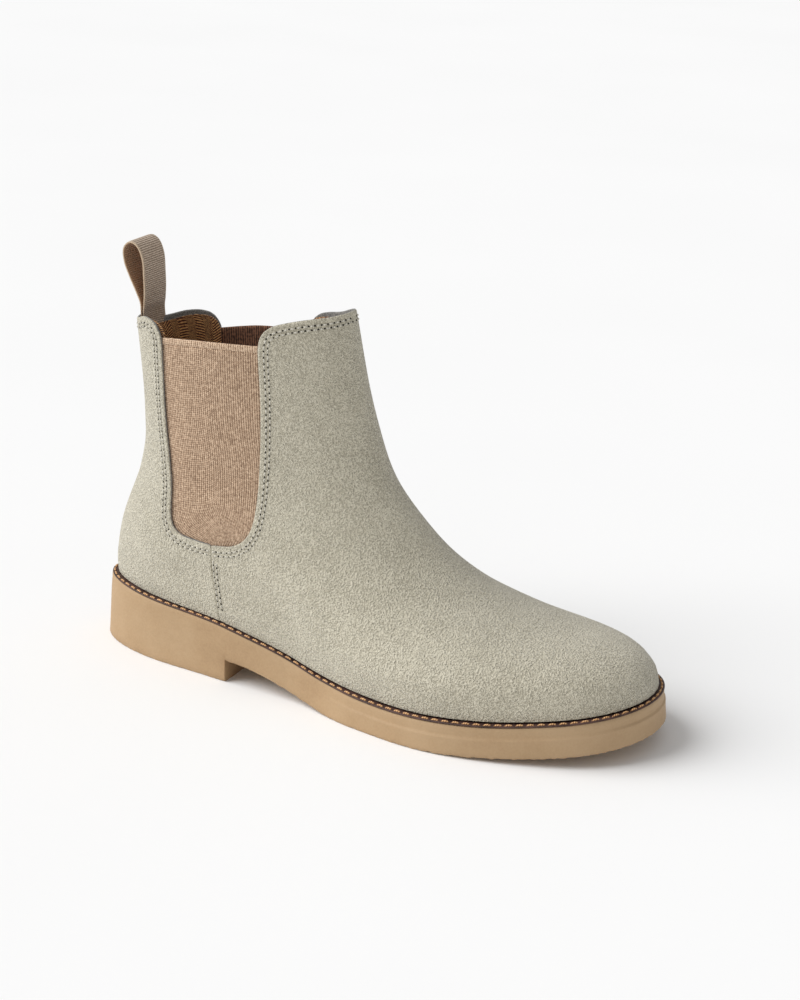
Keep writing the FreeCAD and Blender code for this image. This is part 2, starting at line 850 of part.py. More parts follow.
def make_pull_loop():
    """Webbing loop: one band that closes on itself at a round root on the hinge line."""
    x0, z0 = size("tab_axis_station"), size("tab_axis_height")
    half = size("webbing_thickness") / 2
    root = 1.1
    outer, inner = [], []
    for i in range(1, len(LOOP) - 1):
        before, (x, z), after = LOOP[i - 1], LOOP[i], LOOP[i + 1]
        run = math.dist(before, after)
        dx, dz = (after[0] - before[0]) / run, (after[1] - before[1]) / run
        outer.append((x + dz * half, z - dx * half))
        inner.append((x - dz * half, z + dx * half))

    def place(point):
        return Vector(x0 + point[0] + CENTRE_X, z0 + point[1], 0)

    outer_line = [place(p) for p in [(root, 0.4)] + outer + [(-root, 0.4)]]
    floor = place((-0.3, 7.0))
    inner_line = [floor] + [place(p) for p in inner] + [floor]
    curves = [spline(outer_line), spline(inner_line)]
    curves.append(Part.Arc(outer_line[-1], place((0, -root)), outer_line[0]))
    body = new_body("pull_tab_loop")
    band = pad(body, new_sketch(body, "loop_profile", "XZ_Plane", curves), "Sizes.webbing_width")
    band.SideType = "Symmetric"
    body.Placement = FreeCAD.Placement(at(-CENTRE_X, size("tab_offset"), 0), FreeCAD.Rotation())
    doc.recompute()
    return body


ANCHOR_LOW = 147.0
ANCHOR_TOP = 170.2


def make_pull_anchor(layer):
    """The webbing's two ends, pressed flat between the suede and the lining."""
    region = doc.addObject("Part::Box", "anchor_region")
    region.Length = 45.0
    region.setExpression("Width", "Sizes.webbing_width")
    region.Height = ANCHOR_TOP - ANCHOR_LOW
    corner = at(0, size("tab_offset") - size("webbing_width") / 2, ANCHOR_LOW)
    region.Placement = FreeCAD.Placement(corner, FreeCAD.Rotation())
    return common_of("pull_tab_anchor", layer, region)


# ---------------------------------------------------------------- the boot

nodes = {}


def keep(name, item):
    item.Label = name
    nodes[name] = item


keep("outsole", make_outsole())
keep("welt_strip", plate("welt_strip", size("welt_inset"), GAP / 2, WELT_TOP, hole=WELT_INNER))
keep("shank", make_shank())
keep("bottom_filler", make_filler())
keep("insole_board", plate("insole_board", size("footbed_inset"), BOARD_LOW, BOARD_TOP))
keep("heel_pad", make_heel_pad())
keep("footbed", make_footbed())
keep("welt_stitching", make_welt_threads())

keep("vamp", make_vamp("vamp", full_layer("suede_layer", SUEDE)))
keep("vamp_lining", make_vamp("vamp_lining", full_layer("lining_layer", LINING)))
suede_back = back_layer("suede_back", SUEDE)
middle_back = back_layer("middle_back", STIFFENER)
lining_back = back_layer("lining_back", LINING)
for side in ("lateral", "medial"):
    keep(f"quarter_{side}", make_quarter(f"quarter_{side}", suede_back, side))
    keep(f"quarter_lining_{side}", make_quarter(f"quarter_lining_{side}", lining_back, side))
    keep(f"gore_{side}", make_gore(f"gore_{side}", middle_back, side))

above_counter = [(-30, 240), (330, 240), (330, 0)]
keep("heel_counter", make_stiffener("heel_counter", middle_back, COUNTER_EDGE, above_counter))
behind_puff = [(-30, 0), (-30, 240), (246, 240)]
middle = full_layer("middle_layer", STIFFENER)
keep("toe_puff", make_stiffener("toe_puff", middle, PUFF_EDGE, behind_puff))

keep("pull_tab_loop", make_pull_loop())
keep("pull_tab_anchor", make_pull_anchor(middle_back))

EDGE = 3.0
ROW_GAP = 1.9
SIDE_SEAM_SEWN = [(77.6, 62.5), (78.2, 55), (80.5, 36)]
for side in ("lateral", "medial"):
    front_line = COLLAR_FRONT[1:] + GORE_FRONT[1:]
    for name, line, first in (
        (f"collar_stitching_{side}", front_line, EDGE),
        (f"side_seam_stitching_{side}", SIDE_SEAM_SEWN, 1.2),
    ):
        rows = [shifted(line, first), shifted(line, first + ROW_GAP)]
        keep(name, feature(name, seam_threads(rows, side)))

# ---------------------------------------------------------------- checks and files

doc.recompute()
for item in doc.Objects:
    if "Invalid" in item.State or "Error" in item.State:
        raise RuntimeError(f"{item.Name} failed: {item.State}")
os.makedirs("parts", exist_ok=True)
for name, item in nodes.items():
    shape = item.Shape
    if shape.isNull() or not shape.isValid() or shape.Volume <= 0:
        raise RuntimeError(f"{name} has no valid solid")
    shape.exportStep(os.path.join("parts", name + ".step"))
    print(f"{name}: {len(shape.Solids)} solids, {shape.Volume / 1000:.2f} cm3")
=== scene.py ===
import math

import bmesh
import bpy
import numpy as np
from mathutils import Matrix, Vector


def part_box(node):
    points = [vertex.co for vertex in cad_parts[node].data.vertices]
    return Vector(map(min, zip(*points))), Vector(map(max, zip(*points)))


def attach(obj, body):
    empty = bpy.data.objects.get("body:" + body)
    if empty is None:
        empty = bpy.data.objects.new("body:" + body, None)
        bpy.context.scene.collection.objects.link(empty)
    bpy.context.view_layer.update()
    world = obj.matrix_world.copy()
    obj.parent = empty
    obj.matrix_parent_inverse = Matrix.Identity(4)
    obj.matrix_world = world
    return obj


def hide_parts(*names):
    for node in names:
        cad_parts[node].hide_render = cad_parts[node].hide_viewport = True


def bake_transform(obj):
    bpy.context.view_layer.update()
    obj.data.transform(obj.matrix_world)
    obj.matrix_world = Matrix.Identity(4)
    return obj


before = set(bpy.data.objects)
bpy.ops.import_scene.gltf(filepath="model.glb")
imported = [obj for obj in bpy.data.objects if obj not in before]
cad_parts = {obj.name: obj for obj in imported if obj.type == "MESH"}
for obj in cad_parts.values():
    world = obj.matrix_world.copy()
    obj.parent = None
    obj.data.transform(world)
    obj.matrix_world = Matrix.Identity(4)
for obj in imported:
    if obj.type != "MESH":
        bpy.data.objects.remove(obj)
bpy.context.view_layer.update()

# ---------------------------------------------------------------- sole unit
# One moulding of tan crepe-like rubber: the heel, the arched waist and the forepart.
# Its wall leans in a little towards the top, and the forepart has a moulded ledge line.

MM = 0.001
sole_low, sole_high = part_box("outsole")
HEEL_END = sole_low.x / MM
LENGTH = (sole_high.x - sole_low.x) / MM
SHARES = (0.0, 0.10, 0.25, 0.40, 0.55, 0.70, 0.85, 1.0)
SOLE_BULGE = {
    "lateral": (47, 44.3, 39.5, 40.6, 52.9, 64, 68.5, 80),
    "medial": (53, 50, 37.3, 29.5, 38.2, 55.5, 68.5, 81),
}
HEEL_HEIGHT = 32.2
BALL_HEIGHT = 13.1
TOE_HEIGHT = 24.5
HEEL_BREAST = 87.0
BREAST_HEIGHT = 11.2
WAIST_END = 157.0
SPRING_START = 190.0
TOE_SPRING = 10.1
TREAD_PITCH = 10.0
TREAD_DEPTH = 1.2
HEEL_GROOVES = (14.0, 7)
FOREPART_GROOVES = (150.0, 14)
FOREPART_START = 140.0
FOREPART_RUN = 30.0
LEDGE_DROP = 4.3
BAND_END = 2.2
# The seat under the upper and the top edge of the wall: drop and inset.
SEAT = ((0, 9.0), (0, 4.7), (-1.3, 4.2), (-1.3, 3.0), (-1.2, 2.25), (-0.85, 1.9), (1.2, 1.8))
# The wall: drop, inset at the heel and inset at the forepart.
WALL = (
    (3.4, 1.62, 1.70),
    (LEDGE_DROP, 1.55, 1.52),
    (LEDGE_DROP + 0.35, 1.52, 0.98),
    (LEDGE_DROP + 1.0, 1.48, 0.88),
    (LEDGE_DROP + BAND_END, 1.38, 0.86),
)
WALL_FOOT = 0.2
SCALLOP_PITCH = 2.7


def smooth(places, knots):
    """A smooth curve through knots (place, value) that never overshoots them."""
    xs, ys = np.array(knots, float).T
    run = np.diff(xs)
    rise = np.diff(ys) / run
    slopes = np.zeros(len(xs))
    slopes[0], slopes[-1] = rise[0], rise[-1]
    before, after = rise[:-1], rise[1:]
    same = before * after > 0
    weight_a = 2 * run[1:] + run[:-1]
    weight_b = run[1:] + 2 * run[:-1]
    safe_a, safe_b = np.where(same, before, 1.0), np.where(same, after, 1.0)
    mean = (weight_a + weight_b) / (weight_a / safe_a + weight_b / safe_b)
    slopes[1:-1] = np.where(same, mean, 0.0)
    x = np.clip(places, xs[0], xs[-1])
    k = np.clip(np.searchsorted(xs, x, side="right") - 1, 0, len(run) - 1)
    f = (x - xs[k]) / run[k]
    value = (2 * f**3 - 3 * f**2 + 1) * ys[k] + (3 * f**2 - 2 * f**3) * ys[k + 1]
    return value + run[k] * ((f**3 - 2 * f**2 + f) * slopes[k] + (f**3 - f**2) * slopes[k + 1])


def ease(f):
    f = np.clip(f, 0.0, 1.0)
    return f * f * (3 - 2 * f)


def half_width(share, bulges):
    ellipse = 2 * np.sqrt(np.clip(share * (1 - share), 0, None))
    return ellipse * smooth(share, list(zip(SHARES, bulges)))


across = np.linspace(0, 1, 801)
widths = [half_width(across, SOLE_BULGE[side]).max() for side in ("lateral", "medial")]
MIDDLE_Y = (sole_low.y + sole_high.y) / 2 / MM + (widths[0] - widths[1]) / 2


def placed(points):
    """Boot coordinates (station, side, height) in millimetres as metres in the CAD frame."""
    return (np.asarray(points, float) + (HEEL_END, MIDDLE_Y, 0.0)) * MM


def sole_top(station):
    heel, ball = HEEL_HEIGHT, BALL_HEIGHT
    return smooth(
        np.asarray(station) / LENGTH,
        [(0.0, heel), (0.1, 0.94 * heel), (0.25, 0.85 * heel), (0.36, 0.69 * heel)]
        + [(0.48, 0.46 * heel), (0.6, ball), (0.75, ball + 1.5), (0.88, ball + 5.7)]
        + [(1.0, TOE_HEIGHT)],
    )


def sole_bottom(station):
    arch = BREAST_HEIGHT * (1 - ease((station - HEEL_BREAST) / (WAIST_END - HEEL_BREAST)))
    spring = TOE_SPRING * np.clip((station - SPRING_START) / (LENGTH - SPRING_START), 0, None) ** 2
    return np.where(station < HEEL_BREAST, 0.0, np.maximum(arch, spring))


def sole_ring(angles, inset):
    """The sole's outline moved in. Angles run from the heel along the outer side to the toe."""

    def outline(a):
        a = np.mod(a, 2 * math.pi)
        share = (1 - np.cos(a)) / 2
        outer = -half_width(share, SOLE_BULGE["lateral"])
        inner = half_width(share, SOLE_BULGE["medial"])
        return LENGTH * share, np.where(a <= math.pi, outer, inner)

    x, y = outline(angles)
    (x0, y0), (x1, y1) = outline(angles - 0.01), outline(angles + 0.01)
    run = np.hypot(x1 - x0, y1 - y0)
    return x - (y1 - y0) / run * inset, y + (x1 - x0) / run * inset


def new_piece(name, points, faces, material, smooth_angle=40):
    """A mesh piece from points in boot coordinates, shaded smooth."""
    mesh = bpy.data.meshes.new(name)
    mesh.from_pydata(placed(points).tolist(), [], [list(map(int, f)) for f in faces])
    piece = bpy.data.objects.new(name, mesh)
    bpy.context.scene.collection.objects.link(piece)
    for one in material if isinstance(material, (list, tuple)) else [material]:
        mesh.materials.append(one)
    mesh.shade_smooth()
    mesh.set_sharp_from_angle(angle=math.radians(smooth_angle))
    return piece


def weld(piece, distance=0.002):
    """Joins points that lie on each other and turns all faces outwards."""
    work = bmesh.new()
    work.from_mesh(piece.data)
    bmesh.ops.remove_doubles(work, verts=work.verts, dist=distance * MM)
    bmesh.ops.dissolve_degenerate(work, edges=work.edges, dist=distance * MM / 2)
    bmesh.ops.recalc_face_normals(work, faces=work.faces)
    work.to_mesh(piece.data)
    work.free()
    return piece


def grid_faces(rows, columns, start=0, closed=False):
    """Quads of a grid whose points are numbered row by row."""
    count = columns if closed else columns - 1
    return [
        (
            start + i * columns + j,
            start + i * columns + (j + 1) % columns,
            start + (i + 1) * columns + (j + 1) % columns,
            start + (i + 1) * columns + j,
        )
        for i in range(rows - 1)
        for j in range(count)
    ]


def new_material(name, roughness, specular=0.3, sheen=0.0):
    """A material, a function that adds nodes, one that wires them in, and object coordinates."""
    material = bpy.data.materials.new(name)
    material.use_nodes = True
    tree = material.node_tree
    shader = tree.nodes["Principled BSDF"]
    shader.inputs["Roughness"].default_value = roughness
    shader.inputs["Specular IOR Level"].default_value = specular
    shader.inputs["Sheen Weight"].default_value = sheen
    shader.inputs["Sheen Roughness"].default_value = 0.45

    def add(kind, output=0, **settings):
        """Adds a node: settings are its properties, values for its sockets, or links to them."""
        made = tree.nodes.new("ShaderNode" + kind)
        for key, value in settings.items():
            if not key.startswith("in_"):
                setattr(made, key, value)
        for key, value in settings.items():
            if key.startswith("in_"):
                label = key[3:]
                socket = made.inputs[int(label) if label.isdigit() else label.replace("_", " ")]
                if isinstance(value, bpy.types.NodeSocket):
                    tree.links.new(value, socket)
                else:
                    socket.default_value = value
        return made.outputs[output]

    def wire(value, socket):
        tree.links.new(value, shader.inputs[socket])

    return material, add, wire, add("TexCoord", output="Object")


def shades(add, factor, *stops):
    """A colour ramp over factor with stops (place, (r, g, b))."""
    out = add("ValToRGB", in_0=factor)
    ramp = out.node.color_ramp
    for place, colour in stops[2:]:
        ramp.elements.new(place)
    for element, (place, colour) in zip(ramp.elements, sorted(stops)):
        element.position = place
        element.color = (*colour, 1.0)
    return out


def noise(add, at, scale, detail=2.0, **more):
    return add("TexNoise", in_Vector=at, in_Scale=scale, in_Detail=detail, **more)


def mixed(add, value, share, rest):
    """A share of one value on top of another."""
    return add("Math", operation="MULTIPLY_ADD", in_0=value, in_1=share, in_2=rest)


def wave(add, value, pitch, kind="SINE"):
    """A wave over a value that repeats at every pitch."""
    turns = add("Math", operation="MULTIPLY", in_0=value, in_1=2 * math.pi / pitch)
    return add("Math", operation=kind, in_0=turns)


def bump(add, wire, height, distance, strength):
    out = add("Bump", in_Height=height, in_Distance=distance * MM, in_Strength=strength)
    wire(out, "Normal")


def rubber_material():
    material, add, wire, at = new_material("tan_sole_rubber", 0.62, specular=0.32)
    broad = noise(add, at, 22.0, 5.0, in_Roughness=0.6)
    fine = noise(add, at, 900.0, 3.0)
    mix = mixed(add, fine, 0.28, broad)
    tans = (0.42, (0.385, 0.25, 0.135)), (0.62, (0.455, 0.305, 0.17)), (0.80, (0.50, 0.345, 0.20))
    wire(shades(add, mix, *tans), "Base Color")
    pores = add("TexVoronoi", in_Vector=at, in_Scale=520.0)
    height = mixed(add, pores, 0.35, fine)
    bump(add, wire, height, 0.16, 0.45)
    return material


def make_sole_unit():
    half = np.linspace(0, math.pi, 181)
    breast = math.acos(1 - 2 * HEEL_BREAST / LENGTH)
    specials = [breast - 1e-4, breast + 1e-4]
    grooves = [s + TREAD_PITCH * i for s, n in (HEEL_GROOVES, FOREPART_GROOVES) for i in range(n)]
    for station in grooves:
        for shift in (-1.15, -0.8, 0.8, 1.15):
            specials.append(math.acos(1 - 2 * (station + shift) / LENGTH))
    half = np.unique(np.concatenate([half, specials]))
    angles = np.concatenate([half, 2 * math.pi - half[-2:0:-1]])
    station = LENGTH * (1 - np.cos(angles)) / 2
    top = sole_top(station)
    low = sole_bottom(station)
    fore = ease((station - FOREPART_START) / FOREPART_RUN)
    rough = 0.16 * np.sin(angles * 151) + 0.12 * np.sin(angles * 233 + 1.0)
    rough += 0.10 * np.sin(angles * 67 + 2.0)
    behind_heel = ease((station - HEEL_BREAST - 1) / 3) * ease((130 - station) / 12)
    rough += 0.5 * np.abs(np.sin(math.pi * station / SCALLOP_PITCH)) * behind_heel
    rings = [(top - drop, np.full_like(top, inset)) for drop, inset in SEAT]
    for drop, plain, proud in WALL:
        rings.append((top - drop, plain * (1 - fore) + proud * fore))
    band_z, band_inset = rings[-1]
    for share in (0.4, 0.7, 0.9):
        z = band_z * (1 - share) + (low + 1.3) * share
        rings.append((z, band_inset * (1 - share) + WALL_FOOT * share))
    rings.append((low + 0.75 + rough * 0.6, np.full_like(top, 0.12)))
    rings.append((low + 0.2 + rough * 0.9, np.full_like(top, 0.45)))
    rings.append((low, np.full_like(top, 1.3)))
    points = []
    for z, inset in rings:
        x, y = sole_ring(angles, inset)
        points.append(np.stack([x, y, z], 1))
    count = len(angles)
    faces = grid_faces(len(rings), count, closed=True)
    points = np.concatenate(points)

    def fill(ring, columns, height):
        """Closes the ring across the sole with strips from the outer to the inner side."""
        nonlocal points
        start = len(points)
        first = ring * count
        rows = []
        for i in range(len(half)):
            a, b = points[first + i], points[first + (count - i) % count]
            line = a + (b - a) * columns[:, None]
            line[:, 2] += height(line, columns)
            rows.append(line)
        points = np.concatenate([points] + rows)
        return grid_faces(len(half), len(columns), start)

    def tread(line, columns):
        x = line[len(line) // 2, 0]
        near = min(abs(x - s) for s in grooves)
        depth = TREAD_DEPTH * (1 - ease((near - 0.8) / 0.35))
        inside = ease((columns - 0.06) / 0.02) * ease((0.94 - columns) / 0.02)
        return depth * inside

    rim = [0, 0.05, 0.06, 0.08]
    columns = np.concatenate([rim, np.linspace(0.12, 0.88, 15), [0.92, 0.94, 0.95, 1]])
    faces += fill(len(rings) - 1, columns, tread)
    faces += fill(0, np.linspace(0, 1, 5), lambda line, columns: 0.0)
    return weld(new_piece("sole_unit", points, faces, rubber_material(), smooth_angle=50))


sole_unit = make_sole_unit()
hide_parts("outsole")
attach(sole_unit, "boot")

# ---------------------------------------------------------------- shank, filler and board
# Covered layers of the bottom: a rolled steel shank, a cork mix round it and a board of
# pressed cellulose that the upper is lasted over. They are cemented flat on each other.


def speckled_material(name, dark, light, scale, roughness=0.9):
    material, add, wire, at = new_material(name, roughness, specular=0.2)
    grains = add("TexVoronoi", in_Vector=at, in_Scale=scale, output="Color")
    grey = add("RGBToBW", in_0=grains)
    fibres = noise(add, at, scale * 1.7, 4.0)
    mix = mixed(add, grey, 0.5, fibres)
    wire(shades(add, mix, (0.35, dark), (0.95, light)), "Base Color")
    bump(add, wire, mix, 0.2, 0.6)
    return material


def steel_material():
    material, add, wire, at = new_material("shank_steel", 0.36, specular=0.5)
    material.node_tree.nodes["Principled BSDF"].inputs["Metallic"].default_value = 1.0
    stretched = add("Mapping", in_Vector=at, in_Scale=(60.0, 2500.0, 2500.0))
    lines = noise(add, stretched, 1.0, 3.0)
    wire(shades(add, lines, (0.35, (0.34, 0.34, 0.35)), (0.7, (0.62, 0.62, 0.63))), "Base Color")
    bump(add, wire, lines, 0.05, 0.3)
    return material


def finish_node(name, material):
    """Gives a carried-over CAD node its material."""
    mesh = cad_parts[name].data
    mesh.materials.clear()
    mesh.materials.append(material)


finish_node("shank", steel_material())
cork = speckled_material("filler_cork", (0.16, 0.08, 0.035), (0.55, 0.36, 0.19), 380.0)
cellulose = speckled_material("insole_cellulose", (0.42, 0.31, 0.2), (0.62, 0.5, 0.36), 700.0)
finish_node("bottom_filler", cork)
finish_node("insole_board", cellulose)

# ---------------------------------------------------------------- welt
# A narrow strip of dark brown waxed leather that runs all round between the sole and the
# upper. It is cemented to the sole unit, and one row of thick thread is sewn through it.

WELT_THICKNESS = 2.2
WELT_EDGE = 1.75
WELT_WIDTH = 12.2
WELT_DRAW_IN = 0.35
STITCH_GROOVE = 1.3
GROOVE_HEIGHT = 1.98
# Inset and height over the sole, from the inner edge round the under side to the top.
WELT_PROFILE = [
    (WELT_WIDTH, 0.1),
    (WELT_EDGE + 3.1, 0.1),
    (WELT_EDGE + 2.6, 1.4),
    (WELT_EDGE + 0.5, 1.4),
    (WELT_EDGE + 0.15, 1.45),
    (WELT_EDGE, 1.6),
    (WELT_EDGE, 1.8),
    (WELT_EDGE + 0.12, 2.02),
    (WELT_EDGE + 0.4, 2.18),
    (WELT_EDGE + 0.7, 2.16),
    (WELT_EDGE + STITCH_GROOVE, GROOVE_HEIGHT),
    (WELT_EDGE + 1.9, 2.16),
    (WELT_EDGE + 2.6, WELT_THICKNESS),
    (WELT_WIDTH, WELT_THICKNESS),
]


def welt_material():
    material, add, wire, at = new_material("waxed_welt_leather", 0.5, specular=0.35)
    grain = add("TexVoronoi", in_Vector=at, in_Scale=1300.0)
    broad = noise(add, at, 160.0, 4.0)
    wire(shades(add, broad, (0.35, (0.035, 0.016, 0.012)), (0.7, (0.105, 0.052, 0.042))), "Base Color")
    wire(shades(add, broad, (0.3, (0.4,) * 3), (0.7, (0.62,) * 3)), "Roughness")
    bump(add, wire, grain, 0.12, 0.5)
    return material


def make_welt():
    angles = np.linspace(0, 2 * math.pi, 721)[:-1]
    fore = ease((LENGTH * (1 - np.cos(angles)) / 2 - 150) / 20)
    points = []
    for inset, height in WELT_PROFILE:
        draw_in = WELT_DRAW_IN * (1 - fore) if inset < WELT_EDGE + 2 else 0.0
        x, y = sole_ring(angles, inset + draw_in)
        points.append(np.stack([x, y, sole_top(x) + height], 1))
    count = len(angles)
    faces = grid_faces(len(points), count, closed=True)
    last = (len(points) - 1) * count
    faces += [(last + j, last + (j + 1) % count, (j + 1) % count, j) for j in range(count)]
    return weld(new_piece("welt", np.concatenate(points), faces, welt_material(), smooth_angle=60))


welt = make_welt()
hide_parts("welt_strip")
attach(welt, "boot")

# ---------------------------------------------------------------- welt stitching
# Thick waxed thread in light tan, about five millimetres a stitch, laid in a shallow
# groove of the welt. Each stitch dives into its needle hole at both ends.

WELT_PITCH = 5.0
WELT_STITCH_GAP = 0.9
WELT_THREAD = 0.52
WELT_PLY = 1.1


def thread_material(name, dark, light, ply):
    """Twisted thread: slanting plies by stripes along the surface."""
    material, add, wire, at = new_material(name, 0.7, specular=0.3, sheen=0.15)
    fuzz = noise(add, at, 2200.0)
    run = add("Attribute", attribute_name="along", output="Fac")
    mix = mixed(add, wave(add, run, ply), 0.22, fuzz)
    wire(shades(add, mix, (0.25, dark), (0.7, light)), "Base Color")
    bump(add, wire, mix, 0.12, 0.8)
    return material


def stitches_mesh(name, ends, radius, material, sink, bow):
    """Threads between pairs of points with normals; each bows up and sinks at its ends."""
    rings, sides = 7, 8
    points, faces, along = [], [], []
    for (a, na), (b, nb) in ends:
        start = len(points)
        length = np.linalg.norm(b - a)
        run = (b - a) / length
        for i in range(rings):
            f = i / (rings - 1)
            normal = na * (1 - f) + nb * f
            normal = normal / np.linalg.norm(normal)
            side = np.cross(normal, run)
            swell = math.sin(math.pi * f) ** 0.5 if 0 < f < 1 else 0.0
            middle = a * (1 - f) + b * f + normal * (bow * swell - sink * (1 - swell))
            thick = radius * (0.45 + 0.55 * swell)
            for k in range(sides):
                turn = 2 * math.pi * k / sides
                points.append(middle + (side * math.cos(turn) + normal * math.sin(turn)) * thick)
                along.append(f * length + turn / (2 * math.pi) * 0.9)
        faces += grid_faces(rings, sides, start, closed=True)
        faces.append(tuple(start + k for k in reversed(range(sides))))
        faces.append(tuple(start + (rings - 1) * sides + k for k in range(sides)))
    piece = new_piece(name, np.array(points), faces, material, smooth_angle=80)
    layer = piece.data.attributes.new("along", "FLOAT", "POINT")
    layer.data.foreach_set("value", np.array(along, np.float32))
    return piece


def even_places(line, pitch):
    """The length run at each point of a line, and the lengths that divide it evenly."""
    steps = np.linalg.norm(np.diff(line, axis=0), axis=1)
    run = np.concatenate([[0], np.cumsum(steps)])
    count = max(1, int(round(run[-1] / pitch)))
    return run, np.linspace(0, run[-1], count + 1)


def make_welt_stitches():
    angles = np.linspace(0, 2 * math.pi, 1441)
    x, y = sole_ring(angles, WELT_EDGE + STITCH_GROOVE)
    line = np.stack([x, y, sole_top(x) + GROOVE_HEIGHT], 1)
    run, places = even_places(line, WELT_PITCH)
    up = np.array([0.0, 0.0, 1.0])

    def spot(distance):
        return np.array([np.interp(distance, run, line[:, k]) for k in range(3)])

    gap = WELT_STITCH_GAP / 2
    ends = [((spot(a + gap), up), (spot(b - gap), up)) for a, b in zip(places[:-1], places[1:])]
    material = thread_material("tan_welt_thread", (0.25, 0.10, 0.035), (0.86, 0.52, 0.25), WELT_PLY)
    return stitches_mesh("welt_stitches", ends, WELT_THREAD, material, sink=0.25, bow=0.42)


welt_stitches = make_welt_stitches()
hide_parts("welt_stitching")
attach(welt_stitches, "boot")

# ---------------------------------------------------------------- vamp
# One piece of suede for the toe, the instep and the shin, wet-lasted over the last and
# lasted in under the insole. Its cut edges run up the gores and round the collar.

RIDGE = [
    (0.00, 297.3, 27.0),
    (0.06, 296.6, 32.5),
    (0.13, 292.7, 38.4),
    (0.20, 286.0, 43.4),
    (0.28, 273.5, 47.3),
    (0.36, 254.0, 49.6),
    (0.46, 223.5, 55.8),
    (0.56, 193.5, 69.7),
    (0.64, 173.0, 88.6),
    (0.71, 158.0, 108.0),
    (0.78, 150.0, 129.0),
    (0.88, 143.4, 151.5),
    (0.96, 138.7, 173.0),
    (1.00, 135.5, 188.2),
    (1.06, 131.5, 204.0),
]
BACK = [
    (0.00, 5.0, 34.6),
    (0.06, 4.7, 38.0),
    (0.13, 4.8, 43.0),
    (0.20, 5.5, 49.0),
    (0.28, 6.6, 56.0),
    (0.36, 8.4, 64.0),
    (0.46, 11.8, 74.0),
    (0.56, 15.9, 84.0),
    (0.64, 19.2, 92.0),
    (0.71, 21.8, 102.0),
    (0.78, 23.4, 112.0),
    (0.88, 23.2, 131.0),
    (0.96, 21.6, 152.0),
    (1.00, 20.0, 167.0),
    (1.06, 18.6, 182.0),
]
LEVELS = (0.0, 0.15, 0.32, 0.55, 0.75, 1.0)
UPPER_BULGE = {
    "lateral": (
        (38, 37.3, 34.8, 36.3, 47.6, 58.7, 62.8, 73),
        (41, 40, 36.5, 38, 49, 60, 63, 68),
        (39, 42, 37, 37, 43, 49, 52, 48),
        (34, 36, 34.5, 33, 34, 36, 38, 36),
        (33, 31.5, 31, 30, 29, 29, 29, 28),
        (38, 31.5, 29.5, 29.5, 29.5, 29, 28, 27),
    ),
    "medial": (
        (44.5, 43, 32.1, 25.2, 32.9, 49.7, 62.5, 74),
        (46, 45, 34, 29, 36, 51, 62.5, 68),
        (42, 43, 38, 34, 38, 43, 46.5, 46.5),
        (34, 36, 35, 33, 33, 34, 36, 36),
        (33, 31.5, 31, 30, 29, 29, 29, 28),
        (38, 31.5, 29.5, 29.5, 29.5, 29, 28, 27),
    ),
}
RIDGE_SWING = [(0.0, 0.0), (120.0, 0.0), (200.0, 3.0), (260.0, 2.0), (302.0, 0.0)]
FEATHER_LIFT = WELT_THICKNESS + 0.08
TOP_LEVEL = 1.06
TURNS = 1200
RINGS = 320


def raise_skin():
    """The lasted surface as rings of points from the welt to above the collar."""
    turn = np.arange(TURNS) / TURNS
    share = (1 - np.cos(2 * math.pi * turn)) / 2
    rings = []
    for level in np.linspace(0, TOP_LEVEL, RINGS):
        back_x, back_z = [smooth(level, [(k[0], k[i]) for k in BACK]) for i in (1, 2)]
        front_x, front_z = [smooth(level, [(k[0], k[i]) for k in RIDGE]) for i in (1, 2)]
        x = back_x + (front_x - back_x) * share
        sides = {}
        for side, rows in UPPER_BULGE.items():
            bulges = [smooth(min(level, 1.0), list(zip(LEVELS, column))) for column in zip(*rows)]
            sides[side] = half_width(share, bulges)
        y = np.where(turn <= 0.5, -sides["lateral"], sides["medial"])
        y = y + smooth(x, RIDGE_SWING) * ease(level / 0.5) * (1 - max(0.0, (level - 0.6) / 0.4))
        straight = back_z + (front_z - back_z) * share
        feather = sole_top(x) + FEATHER_LIFT
        lift_back = back_z - sole_top(back_x) - FEATHER_LIFT
        lift_front = front_z - sole_top(front_x) - FEATHER_LIFT
        followed = feather + lift_back * (1 - share) + lift_front * share
        blend = ease(level / 0.9)
        rings.append(np.stack([x, y, followed * (1 - blend) + straight * blend], 1))
    skin = np.array(rings)
    for _ in range(60):
        below = np.concatenate([2 * skin[:1] - skin[1:2], skin[:-1]])
        above = np.concatenate([skin[1:], 2 * skin[-1:] - skin[-2:-1]])
        skin = (below + 2 * skin + above) / 4
        skin = (np.roll(skin, 1, 1) + 2 * skin + np.roll(skin, -1, 1)) / 4
    around = np.roll(skin, -1, 1) - np.roll(skin, 1, 1)
    up = np.gradient(skin, axis=0)
    normals = np.cross(around, up)
    normals /= np.linalg.norm(normals, axis=2, keepdims=True)
    return skin, normals


SKIN, SKIN_NORMALS = raise_skin()


def look_up(table, turn, level):
    """Value of a skin table at turns and levels, between its points."""
    column = np.mod(np.asarray(turn, float), 1.0) * TURNS
    row = np.clip(np.asarray(level, float) / TOP_LEVEL, 0, 1) * (RINGS - 1)
    j = np.floor(column).astype(int)
    i = np.minimum(np.floor(row).astype(int), RINGS - 2)
    f, g = (column - j)[..., None], (row - i)[..., None]
    j, k = j % TURNS, (j + 1) % TURNS
    low = table[i, j] * (1 - f) + table[i, k] * f
    high = table[i + 1, j] * (1 - f) + table[i + 1, k] * f
    return low * (1 - g) + high * g


def on_skin(turn, level, depth=0.0):
    """Points at a depth under the lasted surface."""
    return look_up(SKIN, turn, level) - look_up(SKIN_NORMALS, turn, level) * np.asarray(depth)[..., None]


